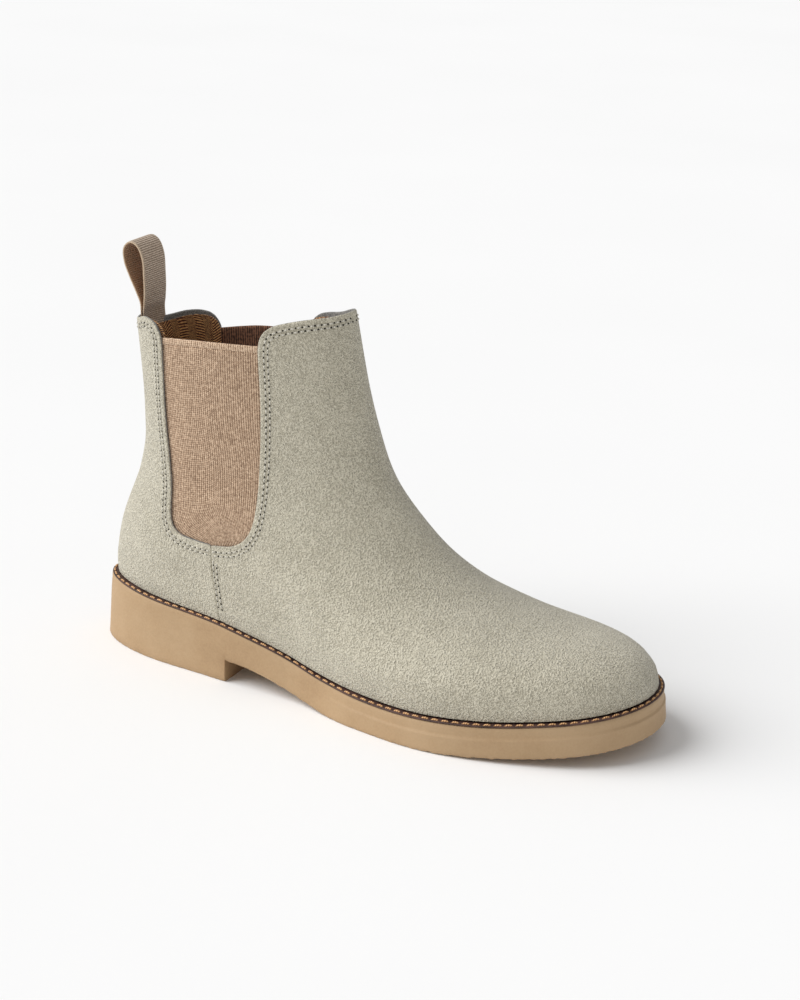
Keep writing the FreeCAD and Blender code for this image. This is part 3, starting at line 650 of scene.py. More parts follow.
def find(station, height, side):
    """The turn and level of a place given in side view."""
    low, high = 0.0, TOP_LEVEL
    for _ in range(24):
        level = (low + high) / 2
        back_x = look_up(SKIN, 0.0, level)[0]
        front_x = look_up(SKIN, 0.5, level)[0]
        share = min(1.0, max(0.0, (station - back_x) / (front_x - back_x)))
        turn = math.acos(1 - 2 * share) / (2 * math.pi)
        turn = turn if side == "lateral" else 1 - turn
        if look_up(SKIN, turn, level)[2] < height:
            low = level
        else:
            high = level
    return turn, (low + high) / 2


INNER_DROP = 4.5
INNER_QUARTER_REACH = 6.0
# Pattern lines in side view, as (station, height).
COLLAR_FRONT = [(102.0, 178.8), (105.5, 181.4), (110, 183.0), (119, 185.1), (130.5, 186.8), (135.5, 187.9)]
GORE_FRONT = [(77, 69.0), (86.5, 70.2), (92, 72.4), (96.4, 76.2), (99.4, 82), (100.8, 90), (101.4, 104)]
GORE_FRONT += [(101.6, 125), (101.0, 146), (99.9, 160), (99.2, 171.0), (100.0, 175.5), (102.0, 178.8)]
SIDE_SEAM = [(81.5, 22), (80.5, 36), (78.2, 55), (77, 69.0)]
GORE_BACK = [(77, 69.0), (68, 69.0), (61, 69.6), (55.5, 71.6), (52, 75.5), (51, 82)]
GORE_BACK += [(50.8, 92), (49.2, 104), (46.6, 120), (45, 136), (44.2, 152), (43.6, 165.5)]
GORE_BACK += [(42.2, 169.4), (40, 172.2)]
COLLAR_BACK = [(40, 172.2), (37, 174.0), (33, 174.7), (29.5, 174.2), (25.5, 172.4), (21, 171.2), (14, 170.6)]
GORE_TOP = [(36, 165.4), (43, 166.4), (55, 168.2), (70, 169.7), (84, 170.6), (106, 171.4)]


def on_side(points, side):
    """A pattern line on one side; the inner side is lower and its quarter reaches forward."""
    if side == "lateral":
        return list(points)
    moved = []
    for x, z in points:
        drop = INNER_DROP * ease((z - 90) / 80) * ease((136.0 - x) / 20)
        reach = INNER_QUARTER_REACH * ease((62 - x) / 10) * ease((x - 22) / 14)
        moved.append((x + reach * ease((z - 60) / 40), z - drop))
    return moved


def dense(points, count):
    """A smooth line through side-view points, evenly spaced."""
    points = np.array(points, float)
    run = np.concatenate([[0], np.cumsum(np.linalg.norm(np.diff(points, axis=0), axis=1))])
    at = np.linspace(0, run[-1], count)
    return np.stack([smooth(at, list(zip(run, points[:, k]))) for k in (0, 1)], 1)


def trace(points, side, count=80):
    """A pattern line as turns and levels on the skin, evenly spaced in length."""
    places = np.array([find(x, z, side) for x, z in dense(on_side(points, side), count)])
    for _ in range(6):
        places[1:-1] = (places[:-2] + 2 * places[1:-1] + places[2:]) / 4
    return respaced(places, count)


def respaced(places, count):
    solid = on_skin(places[:, 0], places[:, 1])
    run = np.concatenate([[0], np.cumsum(np.linalg.norm(np.diff(solid, axis=0), axis=1))])
    at = np.linspace(0, run[-1], count)
    return np.stack([np.interp(at, run, places[:, k]) for k in (0, 1)], 1)


def panel(left, right, bottom, top):
    """Fills four edge lines with a net of turns and levels."""
    s = np.linspace(0, 1, len(bottom))[None, :, None]
    r = np.linspace(0, 1, len(left))[:, None, None]
    ruled = left[:, None] * (1 - s) + right[:, None] * s
    lofted = bottom[None] * (1 - r) + top[None] * r
    ends = (bottom[0] * (1 - s) + bottom[-1] * s) * (1 - r) + (top[0] * (1 - s) + top[-1] * s) * r
    return ruled + lofted - ends


def spaced_net(net, near_start, near_end, step, axis):
    """Respaces a net along one axis: exact distances near its two edges, even between them."""
    if axis == 0:
        return spaced_net(net.transpose(1, 0, 2), near_start, near_end, step, 1).transpose(1, 0, 2)
    solid = on_skin(net[..., 0], net[..., 1])
    steps = np.linalg.norm(np.diff(solid, axis=1), axis=2)
    run = np.concatenate([np.zeros((len(net), 1)), np.cumsum(steps, axis=1)], 1)
    start, end = np.array(near_start, float), np.array(near_end, float)
    between = max(2, int((np.median(run[:, -1]) - start[-1] - end[-1]) / step))
    rows = []
    for places, lengths in zip(net, run):
        total = lengths[-1]
        fit = min(1.0, 0.45 * total / max(start[-1], end[-1], 1e-6))
        middle = np.linspace(start[-1] * fit, total - end[-1] * fit, between + 1)[1:-1]
        at = np.concatenate([start * fit, middle, total - end[::-1] * fit])
        rows.append(np.stack([np.interp(at, lengths, places[:, k]) for k in (0, 1)], 1))
    return np.array(rows)


def edge_distance(net):
    """Distance of each net point from the start and end of its row and of its column."""
    solid = on_skin(net[..., 0], net[..., 1])
    found = []
    for axis in (1, 0):
        steps = np.linalg.norm(np.diff(solid, axis=axis), axis=2)
        pad = np.zeros_like(np.take(steps, [0], axis=axis))
        run = np.concatenate([pad, np.cumsum(steps, axis=axis)], axis=axis)
        found += [run, np.take(run, [-1], axis=axis) - run]
    return found


EDGE_STEPS = (0, 0.22, 0.55, 1.0, 1.6, 2.2, 2.6, 3.0, 3.4, 3.8, 4.2, 4.6, 4.9, 5.2, 5.6, 6.4)
ROUNDING = 0.5


def mark_cloth(piece, values):
    """Stores three millimetre values at each point for the weave: across, along and a third."""
    layer = piece.data.attributes.new("cloth", "FLOAT_VECTOR", "POINT")
    layer.data.foreach_set("vector", np.array(values, np.float32).ravel())


def sheet_piece(name, net, outer, inner, materials, rounded=(1, 1, 0, 1), press=None):
    """A closed sheet between two depths. rounded says which edges are cut and rounded:
    start and end of the rows, bottom, top. press adds depth to the outer face."""
    distances = edge_distance(net)
    near = np.full(net.shape[:2], 99.0)
    for distance, is_cut in zip(distances, rounded):
        if is_cut:
            near = np.minimum(near, distance)
    round_off = ROUNDING * np.clip(1 - near / 0.9, 0, 1) ** 2
    top = outer + round_off + (press(*distances) if press is not None else 0.0)
    low = inner - round_off * 0.8
    low = np.maximum(low, top + 0.12)
    turn, level = net[..., 0], net[..., 1]
    rows, columns = net.shape[:2]
    points = np.concatenate([on_skin(turn, level, depth).reshape(-1, 3) for depth in (top, low)])
    outside = grid_faces(rows, columns)
    offset = rows * columns
    inside = [tuple(offset + i for i in reversed(face)) for face in outside]
    loop = list(range(columns))
    loop += [i * columns + columns - 1 for i in range(1, rows)]
    loop += [(rows - 1) * columns + j for j in range(columns - 2, -1, -1)]
    loop += [i * columns for i in range(rows - 2, 0, -1)]
    rim = [(b, a, a + offset, b + offset) for a, b in zip(loop, loop[1:] + loop[:1])]
    piece = new_piece(name, points, outside + inside + rim, materials, smooth_angle=55)
    if len(piece.data.materials) > 1:
        index = [0] * len(outside) + [1] * (len(inside) + len(rim))
        piece.data.polygons.foreach_set("material_index", index)
    across_up_and_down = [np.tile(distances[k].reshape(-1), 2) for k in (0, 2, 3)]
    mark_cloth(piece, np.stack(across_up_and_down, 1))
    return piece


def suede_material():
    material, add, wire, at = new_material("sand_suede", 0.94, specular=0.12, sheen=0.35)
    nap = noise(add, at, 1900.0, 1.0, in_Roughness=0.5)
    tufts = noise(add, at, 1150.0, 0.0, in_Distortion=0.3)
    broad = noise(add, at, 60.0, 3.0, in_Roughness=0.5)
    mix = mixed(add, tufts, 0.7, nap)
    mix = mixed(add, broad, 0.25, mix)
    sands = (0.70, (0.43, 0.395, 0.305)), (0.97, (0.545, 0.502, 0.39)), (1.22, (0.67, 0.625, 0.50))
    wire(shades(add, mix, *sands), "Base Color")
    height = mixed(add, tufts, 1.6, nap)
    bump(add, wire, height, 0.65, 1.0)
    return material


def cut_edge_and_shade_material():
    material, add, wire, at = new_material("suede_cut_edge_and_shade", 0.95, specular=0.1, sheen=0.2)
    fibres = noise(add, at, 1500.0, 3.0)
    # dark grey for the suede's inner face and cut rims: partly the raw edge's own darker colour, partly
    # painted shade where these faces lie in shadow
    wire(shades(add, fibres, (0.3, (0.10, 0.10, 0.095)), (0.75, (0.40, 0.385, 0.36))), "Base Color")
    bump(add, wire, fibres, 0.3, 0.8)
    return material


SUEDE_THICKNESS = 1.6
STITCH_ROWS = (3.0, 4.9)
LASTED_EDGE = (0, 0.5, 1.2, 2.4)
suede = suede_material()
cut_edge_and_shade = cut_edge_and_shade_material()


def pressed_rows(distance):
    """Depth of the dents that two rows of stitching leave along an edge."""
    return sum(0.16 * np.exp(-(((distance - place) / 0.45) ** 2)) for place in STITCH_ROWS)


def side_edge(gore_line, side, count):
    """A panel's edge: up the side seam from the welt and on along the gore."""
    edge = np.concatenate([trace(SIDE_SEAM, side, 60)[:-1], trace(gore_line, side, count)])
    edge[:, 1] -= edge[0, 1] * np.linspace(1, 0, len(edge)) ** 4
    return respaced(edge, 200)


def vamp_net(trim=0.0):
    left, right = [side_edge(GORE_FRONT, side, 140) for side in ("lateral", "medial")]
    top_left = trace(COLLAR_FRONT, "lateral", 80)
    top_right = trace(COLLAR_FRONT, "medial", 80)[::-1]
    top_left[-1, 0] = top_right[0, 0] = 0.5
    top = respaced(np.concatenate([top_left[:-1], top_right]), 220)
    bottom = respaced(np.stack([np.linspace(left[0, 0], right[0, 0], 220), np.zeros(220)], 1), 220)
    net = panel(left, right, bottom, top)
    net = spaced_net(net, EDGE_STEPS, EDGE_STEPS, 1.9, axis=1)
    return spaced_net(net, LASTED_EDGE, np.add(EDGE_STEPS, trim), 1.7, axis=0)


def vamp_press(start, end, bottom, top):
    collar = pressed_rows(top) * ease((start - 1) / 3) * ease((end - 1) / 3)
    sides = pressed_rows(start) + pressed_rows(end)
    return np.maximum(collar, sides * ease((top - 1) / 3))


vamp = sheet_piece("vamp", vamp_net(), 0.0, SUEDE_THICKNESS, [suede, cut_edge_and_shade], press=vamp_press)
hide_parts("vamp")
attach(vamp, "boot")

# ---------------------------------------------------------------- quarters
# Two pieces of the same suede close the back of the shaft. They meet in a turned seam
# down the heel, and their front edges lie over the gore and under the vamp's side seam.

BACK_SEAM_TURN = 0.0006


def quarter_net(side, trim=0.0):
    front = side_edge(GORE_BACK, side, 160)
    top = trace(COLLAR_BACK[:-1] + [(19.6, 171.0)], side, 80)
    seam_turn = BACK_SEAM_TURN if side == "lateral" else 1 - BACK_SEAM_TURN
    top[:, 0] += (seam_turn - top[-1, 0]) * np.linspace(0, 1, len(top)) ** 3
    top = respaced(top, 90)
    back = np.stack([np.full(200, seam_turn), np.linspace(0, top[-1, 1], 200)], 1)
    bottom = respaced(np.stack([np.linspace(front[0, 0], seam_turn, 90), np.zeros(90)], 1), 90)
    net = panel(front, respaced(back, 200), bottom, top)
    seam_steps = (0, 0.3, 0.7, 1.3, 2.2)
    if side == "lateral":
        net = spaced_net(net[:, ::-1], seam_steps, EDGE_STEPS, 1.8, axis=1)
    else:
        net = spaced_net(net, EDGE_STEPS, seam_steps, 1.8, axis=1)
    return spaced_net(net, LASTED_EDGE, np.add(EDGE_STEPS, trim), 1.7, axis=0)


def quarter_press(side):
    def press(start, end, bottom, top):
        seam, front = (start, end) if side == "lateral" else (end, start)
        dents = pressed_rows(front) * ease((bottom - 40) / 4) * ease((top - 1) / 3)
        dents = np.maximum(dents, pressed_rows(top) * ease((front - 1) / 3))
        return dents + 0.5 * np.exp(-((seam / 0.8) ** 2))

    return press


for side in ("lateral", "medial"):
    rounded = (0, 1, 0, 1) if side == "lateral" else (1, 0, 0, 1)
    quarter = sheet_piece(
        f"quarter_{side}",
        quarter_net(side),
        0.0,
        SUEDE_THICKNESS,
        [suede, cut_edge_and_shade],
        rounded=rounded,
        press=quarter_press(side),
    )
    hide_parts(f"quarter_{side}")
    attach(quarter, "boot")

# ---------------------------------------------------------------- gores
# Elastic panels let the shaft stretch over the heel. Ribbed webbing of rubber and peach
# yarn, hemmed at the top, with its margins sewn in under the suede on three sides.

GORE_DEPTH = 1.72
GORE_THICKNESS = 1.05
RIB_PITCH = 1.25
COURSE_PITCH = 0.95
RIB_HEIGHT = 0.3
HEM_DEPTH = 3.4
HEM_STEPS = (0, 0.15, 0.45, 0.9, 1.5, 2.1, 2.7, 3.1, 3.4, 3.7, 4.1, 4.8)


def cloth_values(add):
    """The three values that mark_cloth stored."""
    net = add("Attribute", attribute_name="cloth", output="Vector")
    return add("SeparateXYZ", in_0=net).node.outputs


def gore_material():
    material, add, wire, at = new_material("peach_elastic", 0.82, specular=0.15, sheen=0.25)
    across_mm, up_mm, from_top = cloth_values(add)
    rib = wave(add, across_mm, RIB_PITCH, "COSINE")
    course = add("Math", operation="MULTIPLY", in_0=up_mm, in_1=2 * math.pi / COURSE_PITCH)
    shift = add("Math", operation="MULTIPLY", in_0=across_mm, in_1=math.pi / RIB_PITCH)
    course = add("Math", operation="SINE", in_0=add("Math", operation="ADD", in_0=course, in_1=shift))
    yarn = noise(add, at, 900.0)
    broad = noise(add, at, 90.0, 3.0)
    # rib crests are coloured lighter and the valleys between them darker, in step with the ribs' relief:
    # painted highlight and shade
    mix = mixed(add, rib, 0.16, yarn)
    mix = mixed(add, course, 0.13, mix)
    in_hem = add("Math", operation="LESS_THAN", in_0=from_top, in_1=HEM_DEPTH - 0.3)
    mix = mixed(add, in_hem, 0.12, mix)
    mix = mixed(add, broad, 0.12, mix)
    peaches = (0.36, (0.26, 0.165, 0.105)), (0.64, (0.55, 0.38, 0.255)), (0.92, (0.84, 0.64, 0.46))
    wire(shades(add, mix, *peaches), "Base Color")
    height = mixed(add, course, 0.35, yarn)
    bump(add, wire, height, 0.2, 0.7)
    return material


def gore_back_material():
    """The panel's inner face: brown yarn with dark stripes between the ribs."""
    material, add, wire, at = new_material("elastic_inner_face", 0.88, specular=0.12, sheen=0.2)
    across_mm = cloth_values(add)[0]
    rib = wave(add, across_mm, RIB_PITCH, "COSINE")
    fuzz = noise(add, at, 800.0)
    mix = mixed(add, rib, 0.2, fuzz)
    wire(shades(add, mix, (0.3, (0.06, 0.032, 0.022)), (0.7, (0.33, 0.165, 0.10))), "Base Color")
    bump(add, wire, mix, 0.25, 0.7)
    return material


gore_front = gore_material()
gore_inner = gore_back_material()


def gore_net(side):
    front = [(80, 62.0), (90, 64.5), (99, 70.0), (105.0, 79.0), (107.6, 92.0), (108.4, 125)]
    front += [(107.6, 146), (106.6, 160), (106, 171.4)]
    back = [(74, 62.0), (62, 62.4), (52, 65.0), (46.0, 73), (44.2, 92), (42.6, 104), (39.8, 120)]
    back += [(37.8, 140), (36.8, 152), (36, 165.4)]
    left, right = trace(back, side, 120), trace(front, side, 120)
    top = trace(GORE_TOP, side, 90)
    bottom = trace([back[0], (77, 61.9), front[0]], side, 90)
    net = panel(left, right, bottom, top)
    if side == "medial":
        net = net[:, ::-1]
    net = spaced_net(net, (0, 0.2), (0, 0.2), RIB_PITCH / 5, axis=1)
    return spaced_net(net, (0, 0.6), HEM_STEPS, 1.5, axis=0)


def gore_press(start, end, bottom, top):
    ribs = -RIB_HEIGHT / 2 * (np.cos(2 * math.pi * start / RIB_PITCH) + 1)
    hem = -0.28 * (1 - ease((top - HEM_DEPTH + 0.5) / 0.4))
    groove = 0.22 * np.exp(-(((top - HEM_DEPTH) / 0.3) ** 2))
    flattened = 1 - 0.6 * np.exp(-(((top - HEM_DEPTH) / 0.5) ** 2))
    return 0.26 + ribs * flattened + hem + groove


for side in ("lateral", "medial"):
    gore = sheet_piece(
        f"gore_{side}",
        gore_net(side),
        GORE_DEPTH,
        GORE_DEPTH + GORE_THICKNESS,
        [gore_front, gore_inner],
        rounded=(0, 0, 0, 1),
        press=gore_press,
    )
    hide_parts(f"gore_{side}")
    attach(gore, "boot")

# ---------------------------------------------------------------- lining, counter and puff
# A brown herringbone cloth lines the vamp and the quarters. A stiff heel counter and a
# toe puff of impregnated felt are bonded in between the lining and the suede.

LINING_DEPTH = 2.92
LINING_THICKNESS = 0.75
LINING_TRIM = 2.4
CHEVRON = 9.0
TWILL_PITCH = 1.35


def lining_material():
    material, add, wire, at = new_material("herringbone_lining", 0.85, specular=0.15, sheen=0.3)
    across_mm, up_mm, _ = cloth_values(add)
    fold = add("Math", operation="PINGPONG", in_0=across_mm, in_1=CHEVRON / 2)
    slant = add("Math", operation="ADD", in_0=fold, in_1=up_mm)
    ridge = wave(add, slant, TWILL_PITCH)
    yarn = noise(add, at, 1100.0)
    broad = noise(add, at, 70.0, 3.0)
    mix = mixed(add, ridge, 0.30, yarn)
    mix = mixed(add, broad, 0.3, mix)
    browns = (0.38, (0.05, 0.016, 0.009)), (0.64, (0.30, 0.11, 0.05)), (0.92, (0.80, 0.47, 0.20))
    wire(shades(add, mix, *browns), "Base Color")
    bump(add, wire, mix, 0.3, 0.8)
    return material


lining = lining_material()
lining_parts = [("vamp_lining", vamp_net(LINING_TRIM))]
for side in ("lateral", "medial"):
    lining_parts.append((f"quarter_lining_{side}", quarter_net(side, LINING_TRIM)))
for name, net in lining_parts:
    inner = LINING_DEPTH + LINING_THICKNESS
    cloth_lining = sheet_piece(name, net, LINING_DEPTH, inner, lining, rounded=(0, 0, 0, 0))
    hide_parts(name)
    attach(cloth_lining, "boot")

felt = speckled_material("stiffener_felt", (0.42, 0.38, 0.30), (0.62, 0.58, 0.49), 900.0)
finish_node("heel_counter", felt)
finish_node("toe_puff", felt)

# ---------------------------------------------------------------- upper stitching
# Two rows of grey-beige thread hold the gore and finish the collar, and two close rows
# join vamp and quarter at the side seam. Each stitch ends in a needle hole, coloured near-black as painted
# shade.

UPPER_PITCH = 3.1
UPPER_GAP = 1.1
UPPER_PLY = 0.8
UPPER_THREAD = 0.48
ROW_SHIFT = 1.2
HOLE_RADIUS = 0.62
SEAM_ROWS = (1.2, 3.1)
SEAM_ROW_LINE = [(77.7, 62.5), (78.2, 55), (80.5, 34)]
upper_thread = thread_material("grey_beige_thread", (0.36, 0.34, 0.28), (0.80, 0.76, 0.66), UPPER_PLY)


def hole_shade_material():
    material, add, wire, at = new_material("needle_hole_shade", 0.95, specular=0.05)
    fuzz = noise(add, at, 1500.0)
    # near-black colour: painted shade inside the needle hole, whose suede is really sand-coloured
    wire(shades(add, fuzz, (0.3, (0.02, 0.018, 0.015)), (0.7, (0.06, 0.055, 0.045))), "Base Color")
    bump(add, wire, fuzz, 0.1, 0.5)
    return material


needle_hole_shade = hole_shade_material()


def moved_aside(points, distance):
    """A side-view line moved to the left of its direction."""
    line = dense(points, 160)
    direction = np.gradient(line, axis=0)
    direction /= np.linalg.norm(direction, axis=1, keepdims=True)
    return line + np.stack([-direction[:, 1], direction[:, 0]], 1) * distance


def seam_line(points, side, distance):
    line = moved_aside(on_side(points, side), distance)[::3]
    places = np.array([find(x, z, side) for x, z in line])
    return respaced(places, 220)


def sewn_ends(places, depth, shift):
    """Start and end of each stitch along a row, as points with normals."""
    solid = on_skin(places[:, 0], places[:, 1])
    run, marks = even_places(solid, UPPER_PITCH)
    marks = marks[marks + shift < run[-1]] + shift
    ends = []
    for a, b in zip(marks[:-1], marks[1:]):
        pair = []
        for distance in (a + UPPER_GAP / 2, b - UPPER_GAP / 2):
            turn, level = [np.interp(distance, run, places[:, k]) for k in (0, 1)]
            pair.append((on_skin(turn, level, depth), look_up(SKIN_NORMALS, turn, level)))
        ends.append(pair)
    return ends


def add_needle_holes(piece, ends):
    """Small dimples in the suede, where one stitch ends and the next begins, coloured near-black as painted
    shade.
    """
    piece.data.materials.append(needle_hole_shade)
    work = bmesh.new()
    work.from_mesh(piece.data)
    turns = [math.pi * k / 4 for k in range(8)]
    for (a, na), (b, nb) in ends:
        run = (b - a) / np.linalg.norm(b - a)
        side = np.cross(nb, run)
        centre = b + run * UPPER_GAP / 2
        rings = []
        for radius, lift in ((0.6 * HOLE_RADIUS, 0.14), (HOLE_RADIUS, -0.25)):
            middle = centre + nb * lift
            spots = [middle + (run * math.cos(t) + side * math.sin(t)) * radius for t in turns]
            rings.append([work.verts.new(spot) for spot in placed(spots)])
        upper, lower = rings
        faces = [work.faces.new(upper), work.faces.new(lower[::-1])]
        faces += [work.faces.new((lower[k - 1], lower[k], upper[k], upper[k - 1])) for k in range(8)]
        for face in faces:
            face.material_index = 1
    work.to_mesh(piece.data)
    work.free()


GORE_SIDES = [
    (GORE_FRONT[:-1] + COLLAR_FRONT + [(137.2, 188.2)], -1),
    (GORE_BACK + COLLAR_BACK[1:-1], 1),
]
for side in ("lateral", "medial"):
    collar_rows, seam_rows = [], []
    for line, hand in GORE_SIDES:
        for row, distance in enumerate(STITCH_ROWS):
            row_line = seam_line(line, side, hand * distance)
            collar_rows += sewn_ends(row_line, depth=0.05, shift=ROW_SHIFT * row)
    for row, distance in enumerate(SEAM_ROWS):
        row_line = seam_line(SEAM_ROW_LINE, side, distance)
        seam_rows += sewn_ends(row_line, depth=0.02, shift=ROW_SHIFT * row)
    for name, node, ends in (
        ("collar_stitches", "collar_stitching", collar_rows),
        ("side_seam_stitches", "side_seam_stitching", seam_rows),
    ):
        label = f"{name}_{side}"
        stitches = stitches_mesh(label, ends, UPPER_THREAD, upper_thread, sink=0.35, bow=0.14)
        add_needle_holes(stitches, ends)
        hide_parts(f"{node}_{side}")
        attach(stitches, "boot")

# ---------------------------------------------------------------- pull tab
# A band of taupe grosgrain, twenty millimetres wide, folded into a loop. Its two ends go
# down between the suede and the lining of the back and are sewn in there.

TAB_WIDTH = 20.0
TAB_THICKNESS = 1.0
TAB_RIB = 1.05
TAB_WARP = 0.55
TAB_DEPTH = 2.3
BACK_CURVE_DIAMETER = 50
SEAM_STATION = 15.0
tab_low, tab_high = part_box("pull_tab_loop")
TAB_MIDDLE = (tab_low.y + tab_high.y) / 2 / MM - MIDDLE_Y
TAB_ROOT = (24.0, 174.3)
TAB_LINE = [(0.35, -13.0), (0.35, -6.0), (0.45, 0.0), (0.9, 9.0), (0.6, 17.0), (0.3, 23.0), (-0.8, 27.5)]
TAB_LINE += [(-3.2, 31.6), (-6.6, 33.2), (-9.6, 31.6), (-11.0, 28.0), (-10.4, 23.5)]
TAB_LINE += [(-7.6, 16.5), (-3.6, 8.6), (-1.1, 2.5), (-0.8, -1.0), (-0.8, -6.0), (-0.8, -13.0)]


def webbing_material():
    material, add, wire, at = new_material("taupe_grosgrain", 0.8, specular=0.18, sheen=0.25)
    edge, run, inner = cloth_values(add)
    rib = wave(add, run, TAB_RIB, "COSINE")
    warp = wave(add, edge, TAB_WARP)
    yarn = noise(add, at, 1500.0)
    mix = mixed(add, rib, 0.24, yarn)
    mix = mixed(add, warp, 0.06, mix)
    taupes = (0.34, (0.27, 0.20, 0.14)), (0.60, (0.54, 0.42, 0.32)), (0.8, (0.74, 0.61, 0.49))
    body = shades(add, mix, *taupes)
    selvedge = shades(add, yarn, (0.3, (0.52, 0.40, 0.28)), (0.7, (0.68, 0.54, 0.40)))
    is_edge = add("Math", operation="LESS_THAN", in_0=edge, in_1=0.75)
    colour = add("MixRGB", in_0=is_edge, in_1=body, in_2=selvedge)
    # the band's inner face, inside the loop, is mixed towards a darker brown: painted shade
    shade = add("Math", operation="MULTIPLY", in_0=inner, in_1=0.72)
    brown = add("MixRGB", in_0=shade, in_1=colour, in_2=(0.36, 0.19, 0.085, 1.0))
    wire(brown, "Base Color")
    bump(add, wire, mix, 0.2, 0.7)
    return material


def make_pull_tab():
    line = np.array(TAB_LINE) + TAB_ROOT
    run = np.concatenate([[0], np.cumsum(np.linalg.norm(np.diff(line, axis=0), axis=1))])
    at = np.linspace(0, run[-1], int(run[-1] / (TAB_RIB / 6)))
    curve = np.stack([smooth(at, list(zip(run, line[:, k]))) for k in (0, 1)], 1)
    for _ in range(60):
        curve[1:-1] = (curve[:-2] + 2 * curve[1:-1] + curve[2:]) / 4
    direction = np.gradient(curve, axis=0)
    direction /= np.linalg.norm(direction, axis=1, keepdims=True)
    outward = np.stack([direction[:, 1], -direction[:, 0]], 1)
    half = [(-0.5, 0.0), (-0.5, 0.32), (-0.475, 0.44), (-0.44, 0.5)]
    profile = half + [(f, 0.5) for f in np.linspace(-0.4, 0.4, 9)]
    profile += [(-f, h) for f, h in reversed(half)]
    profile += [(f, -h) for f, h in reversed(profile[1:-1])]
    points, cloth = [], []
    for place, out, run_mm in zip(curve, outward, at):
        tucked = float(ease((TAB_ROOT[1] + 2.5 - place[1]) / 5.5))
        rib = 0.09 * math.cos(2 * math.pi * run_mm / TAB_RIB)
        seam = look_up(SKIN, 0.0, find(SEAM_STATION, place[1], "lateral")[1])[0] if tucked else 0.0
        for f, h in profile:
            side = f * TAB_WIDTH
            sunk = tucked * (seam + TAB_DEPTH + side * side / BACK_CURVE_DIAMETER - TAB_ROOT[0])
            ribbed = rib * np.sign(h) if abs(f) < 0.46 and abs(h) > 0.4 else 0.0
            lift = (h * TAB_THICKNESS + ribbed) * (1 - 0.5 * tucked)
            points.append((place[0] + out[0] * lift + sunk, TAB_MIDDLE + side, place[1] + out[1] * lift))
            # the third value is 1 on the band's inner face, which the material darkens as painted shade
            cloth.append(((0.5 - abs(f)) * TAB_WIDTH, run_mm, 1.0 if h < 0 else 0.0))
    count = len(profile)
    faces = grid_faces(len(curve), count, closed=True)
    faces.append(tuple(reversed(range(count))))
    faces.append(tuple((len(curve) - 1) * count + k for k in range(count)))
    tab = new_piece("pull_tab", np.array(points), faces, webbing_material(), smooth_angle=70)
    mark_cloth(tab, cloth)
    return tab


pull_tab = make_pull_tab()
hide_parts("pull_tab_loop", "pull_tab_anchor")
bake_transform(pull_tab)

# ---------------------------------------------------------------- footbed and heel pad
# A foam sock with a woven face is laid on the insole board, with a soft latex pad set
# into its underside at the heel.

FOOTBED_INSET = 9.6
FOOTBED_LOW = 4.44
FOOTBED_THICKNESS = 4.0
HEEL_PAD_THICKNESS = 2.0
LAYER_GAP = 0.05
PAD_STATION = 46.0
PAD_HALF_LENGTH = 23.0
PAD_HALF_WIDTH = 15.0
YARN_PITCH = 1.2083


def footbed_material():
    material, add, wire, at = new_material("footbed_cloth", 0.9, specular=0.12, sheen=0.2)
    split = add("SeparateXYZ", in_0=at)
    weft = wave(add, split, YARN_PITCH * MM)
    warp = wave(add, split.node.outputs[1], YARN_PITCH * MM)
    weave = add("Math", operation="MULTIPLY", in_0=weft, in_1=warp)
    fuzz = noise(add, at, 250.0, 4.0)
    mix = mixed(add, weave, 0.2, fuzz)
    wire(shades(add, mix, (0.3, (0.10, 0.05, 0.03)), (0.75, (0.26, 0.15, 0.09))), "Base Color")
    bump(add, wire, mix, 0.25, 0.7)
    return material


def latex_material():
    material, add, wire, at = new_material("latex_foam", 0.8, specular=0.2)
    cells = add("TexVoronoi", in_Vector=at, in_Scale=900.0)
    wire(shades(add, cells, (0.1, (0.55, 0.50, 0.38)), (0.7, (0.78, 0.73, 0.60))), "Base Color")
    bump(add, wire, cells, 0.3, 0.7)
    return material


def cushion_layer(name, rim, low, thick, material, crown):
    """A foam layer on the sole line with a rounded rim. rim gives its outline at an inset."""
    points, count = [], 0
    levels = ((0.35, 0.0), (0.06, 0.16), (0.0, 0.5), (0.06, 0.82), (0.4, 0.95), (1.1, 1.0))
    for inset, height in levels:
        x, y = rim(inset)
        count = len(x)
        points.append(np.stack([x, y, sole_top(x) + low + thick * height], 1))
    faces = grid_faces(len(levels), count, closed=True)
    points = np.concatenate(points)
    columns = np.linspace(0, 1, 17)
    for ring, level, bulge in ((0, low, 0.0), (len(levels) - 1, low + thick, crown)):
        start = len(points)
        rows = []
        for i in range(count // 2 + 1):
            a, b = points[ring * count + i], points[ring * count + (count - i) % count]
            line = a + (b - a) * columns[:, None]
            line[:, 2] = sole_top(line[:, 0]) + level + bulge * np.sin(math.pi * columns) ** 2
            rows.append(line)
        points = np.concatenate([points] + rows)
        faces += grid_faces(count // 2 + 1, len(columns), start)
    return weld(new_piece(name, points, faces, material, smooth_angle=60))


around = np.linspace(0, 2 * math.pi, 241)[:-1]


def footbed_rim(inset):
    return sole_ring(around, FOOTBED_INSET + LAYER_GAP + inset)


def heel_pad_rim(inset):
    x = PAD_STATION - (PAD_HALF_LENGTH - inset) * np.cos(around)
    return x, -(PAD_HALF_WIDTH - inset) * np.sin(around)


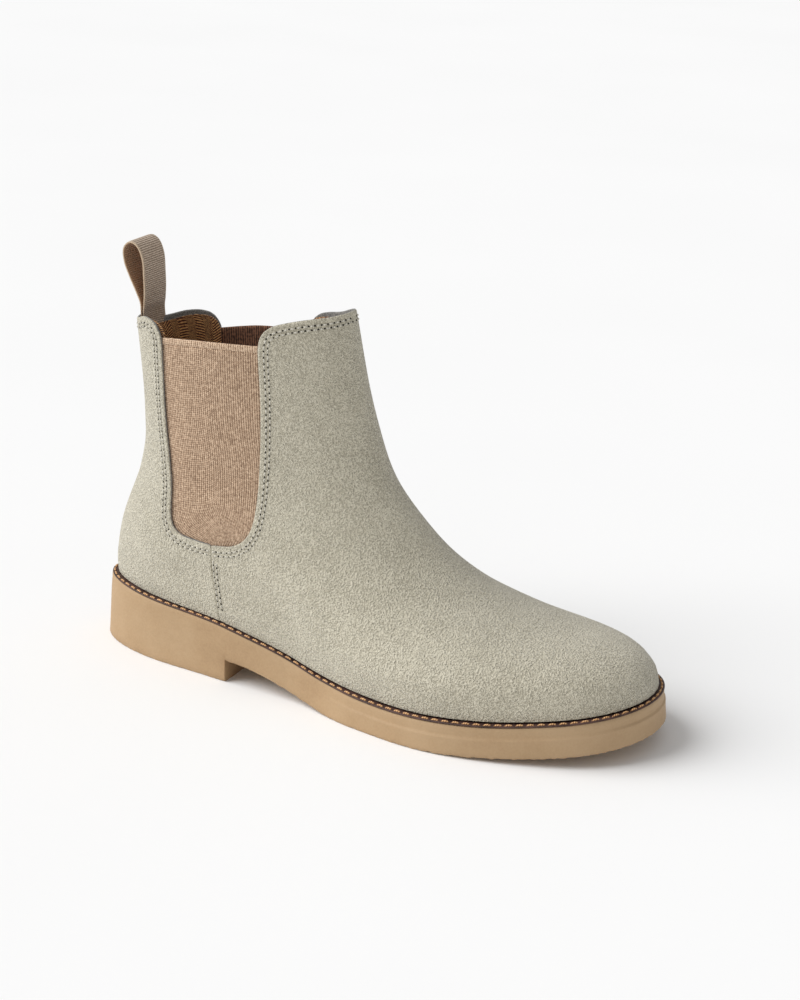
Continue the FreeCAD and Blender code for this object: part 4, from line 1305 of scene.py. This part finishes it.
pad_low = FOOTBED_LOW + LAYER_GAP
pad_thick = HEEL_PAD_THICKNESS - 2 * LAYER_GAP
cover_thick = FOOTBED_THICKNESS - HEEL_PAD_THICKNESS - 2 * LAYER_GAP
for name, rim, low, thick, material, crown in (
    ("footbed", footbed_rim, pad_low + HEEL_PAD_THICKNESS, cover_thick, footbed_material(), -0.4),
    ("heel_pad", heel_pad_rim, pad_low, pad_thick, latex_material(), 0.0),
):
    cushion = cushion_layer(name, rim, low, thick, material, crown)
    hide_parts(name)
    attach(cushion, "boot")

# ---------------------------------------------------------------- floor, light and camera
# A pale studio floor, one broad soft light with a bright sky to fill the shadows, and a
# long lens that looks down on the boot from a little in front of its side.

FLOOR_REACH = 14.0
SKY_STRENGTH = 0.45
LIGHT_STRENGTH = 2.75
LIGHT_SPREAD = math.radians(50)
LIGHT_DIRECTION = (0.68, 0.30, -0.67)
CAMERA_PLACE = (603.1, -927.0, 461.7)
AZIMUTH, ELEVATION, ROLL = math.radians(25.4), math.radians(19.5), math.radians(1.8)


def floor_material():
    material, add, wire, at = new_material("pale_floor", 0.9, specular=0.1)
    fuzz = noise(add, at, 3.0)
    wire(shades(add, fuzz, (0.3, (0.925,) * 3), (0.7, (0.94,) * 3)), "Base Color")
    return material


floor_mesh = bpy.data.meshes.new("floor")
corners = [(x * FLOOR_REACH, y * FLOOR_REACH, 0) for x, y in ((-1, -1), (1, -1), (1, 1), (-1, 1))]
floor_mesh.from_pydata(corners, [], [(0, 1, 2, 3)])
floor_mesh.materials.append(floor_material())
floor = bpy.data.objects.new("floor", floor_mesh)
bpy.context.scene.collection.objects.link(floor)

world = bpy.data.worlds.new("studio")
world.use_nodes = True
sky = world.node_tree.nodes["Background"]
sky.inputs["Color"].default_value = (1.0, 1.0, 1.0, 1.0)
sky.inputs["Strength"].default_value = SKY_STRENGTH
bpy.context.scene.world = world
bpy.context.scene.view_settings.view_transform = "Standard"
broad_light = bpy.data.lights.new("broad_light", "SUN")
broad_light.energy = LIGHT_STRENGTH
broad_light.angle = LIGHT_SPREAD
lamp = bpy.data.objects.new("broad_light", broad_light)
lamp.rotation_euler = Vector(LIGHT_DIRECTION).to_track_quat("-Z", "Y").to_euler()
bpy.context.scene.collection.objects.link(lamp)

camera_data = bpy.data.cameras.new("camera")
camera_data.lens = 81.7
camera_data.sensor_width = 36.0
camera = bpy.data.objects.new("camera", camera_data)
level_back = Vector((math.sin(AZIMUTH), -math.cos(AZIMUTH), 0))
back = level_back * math.cos(ELEVATION) + Vector((0, 0, math.sin(ELEVATION)))
right = Vector((math.cos(AZIMUTH), math.sin(AZIMUTH), 0))
up = back.cross(right)
turned_right = right * math.cos(ROLL) + up * math.sin(ROLL)
turned_up = up * math.cos(ROLL) - right * math.sin(ROLL)
axes = Matrix((turned_right, turned_up, back)).transposed().to_4x4()
axes.translation = Vector(placed([CAMERA_PLACE])[0])
camera.matrix_world = axes
bpy.context.scene.collection.objects.link(camera)
bpy.context.scene.camera = camera
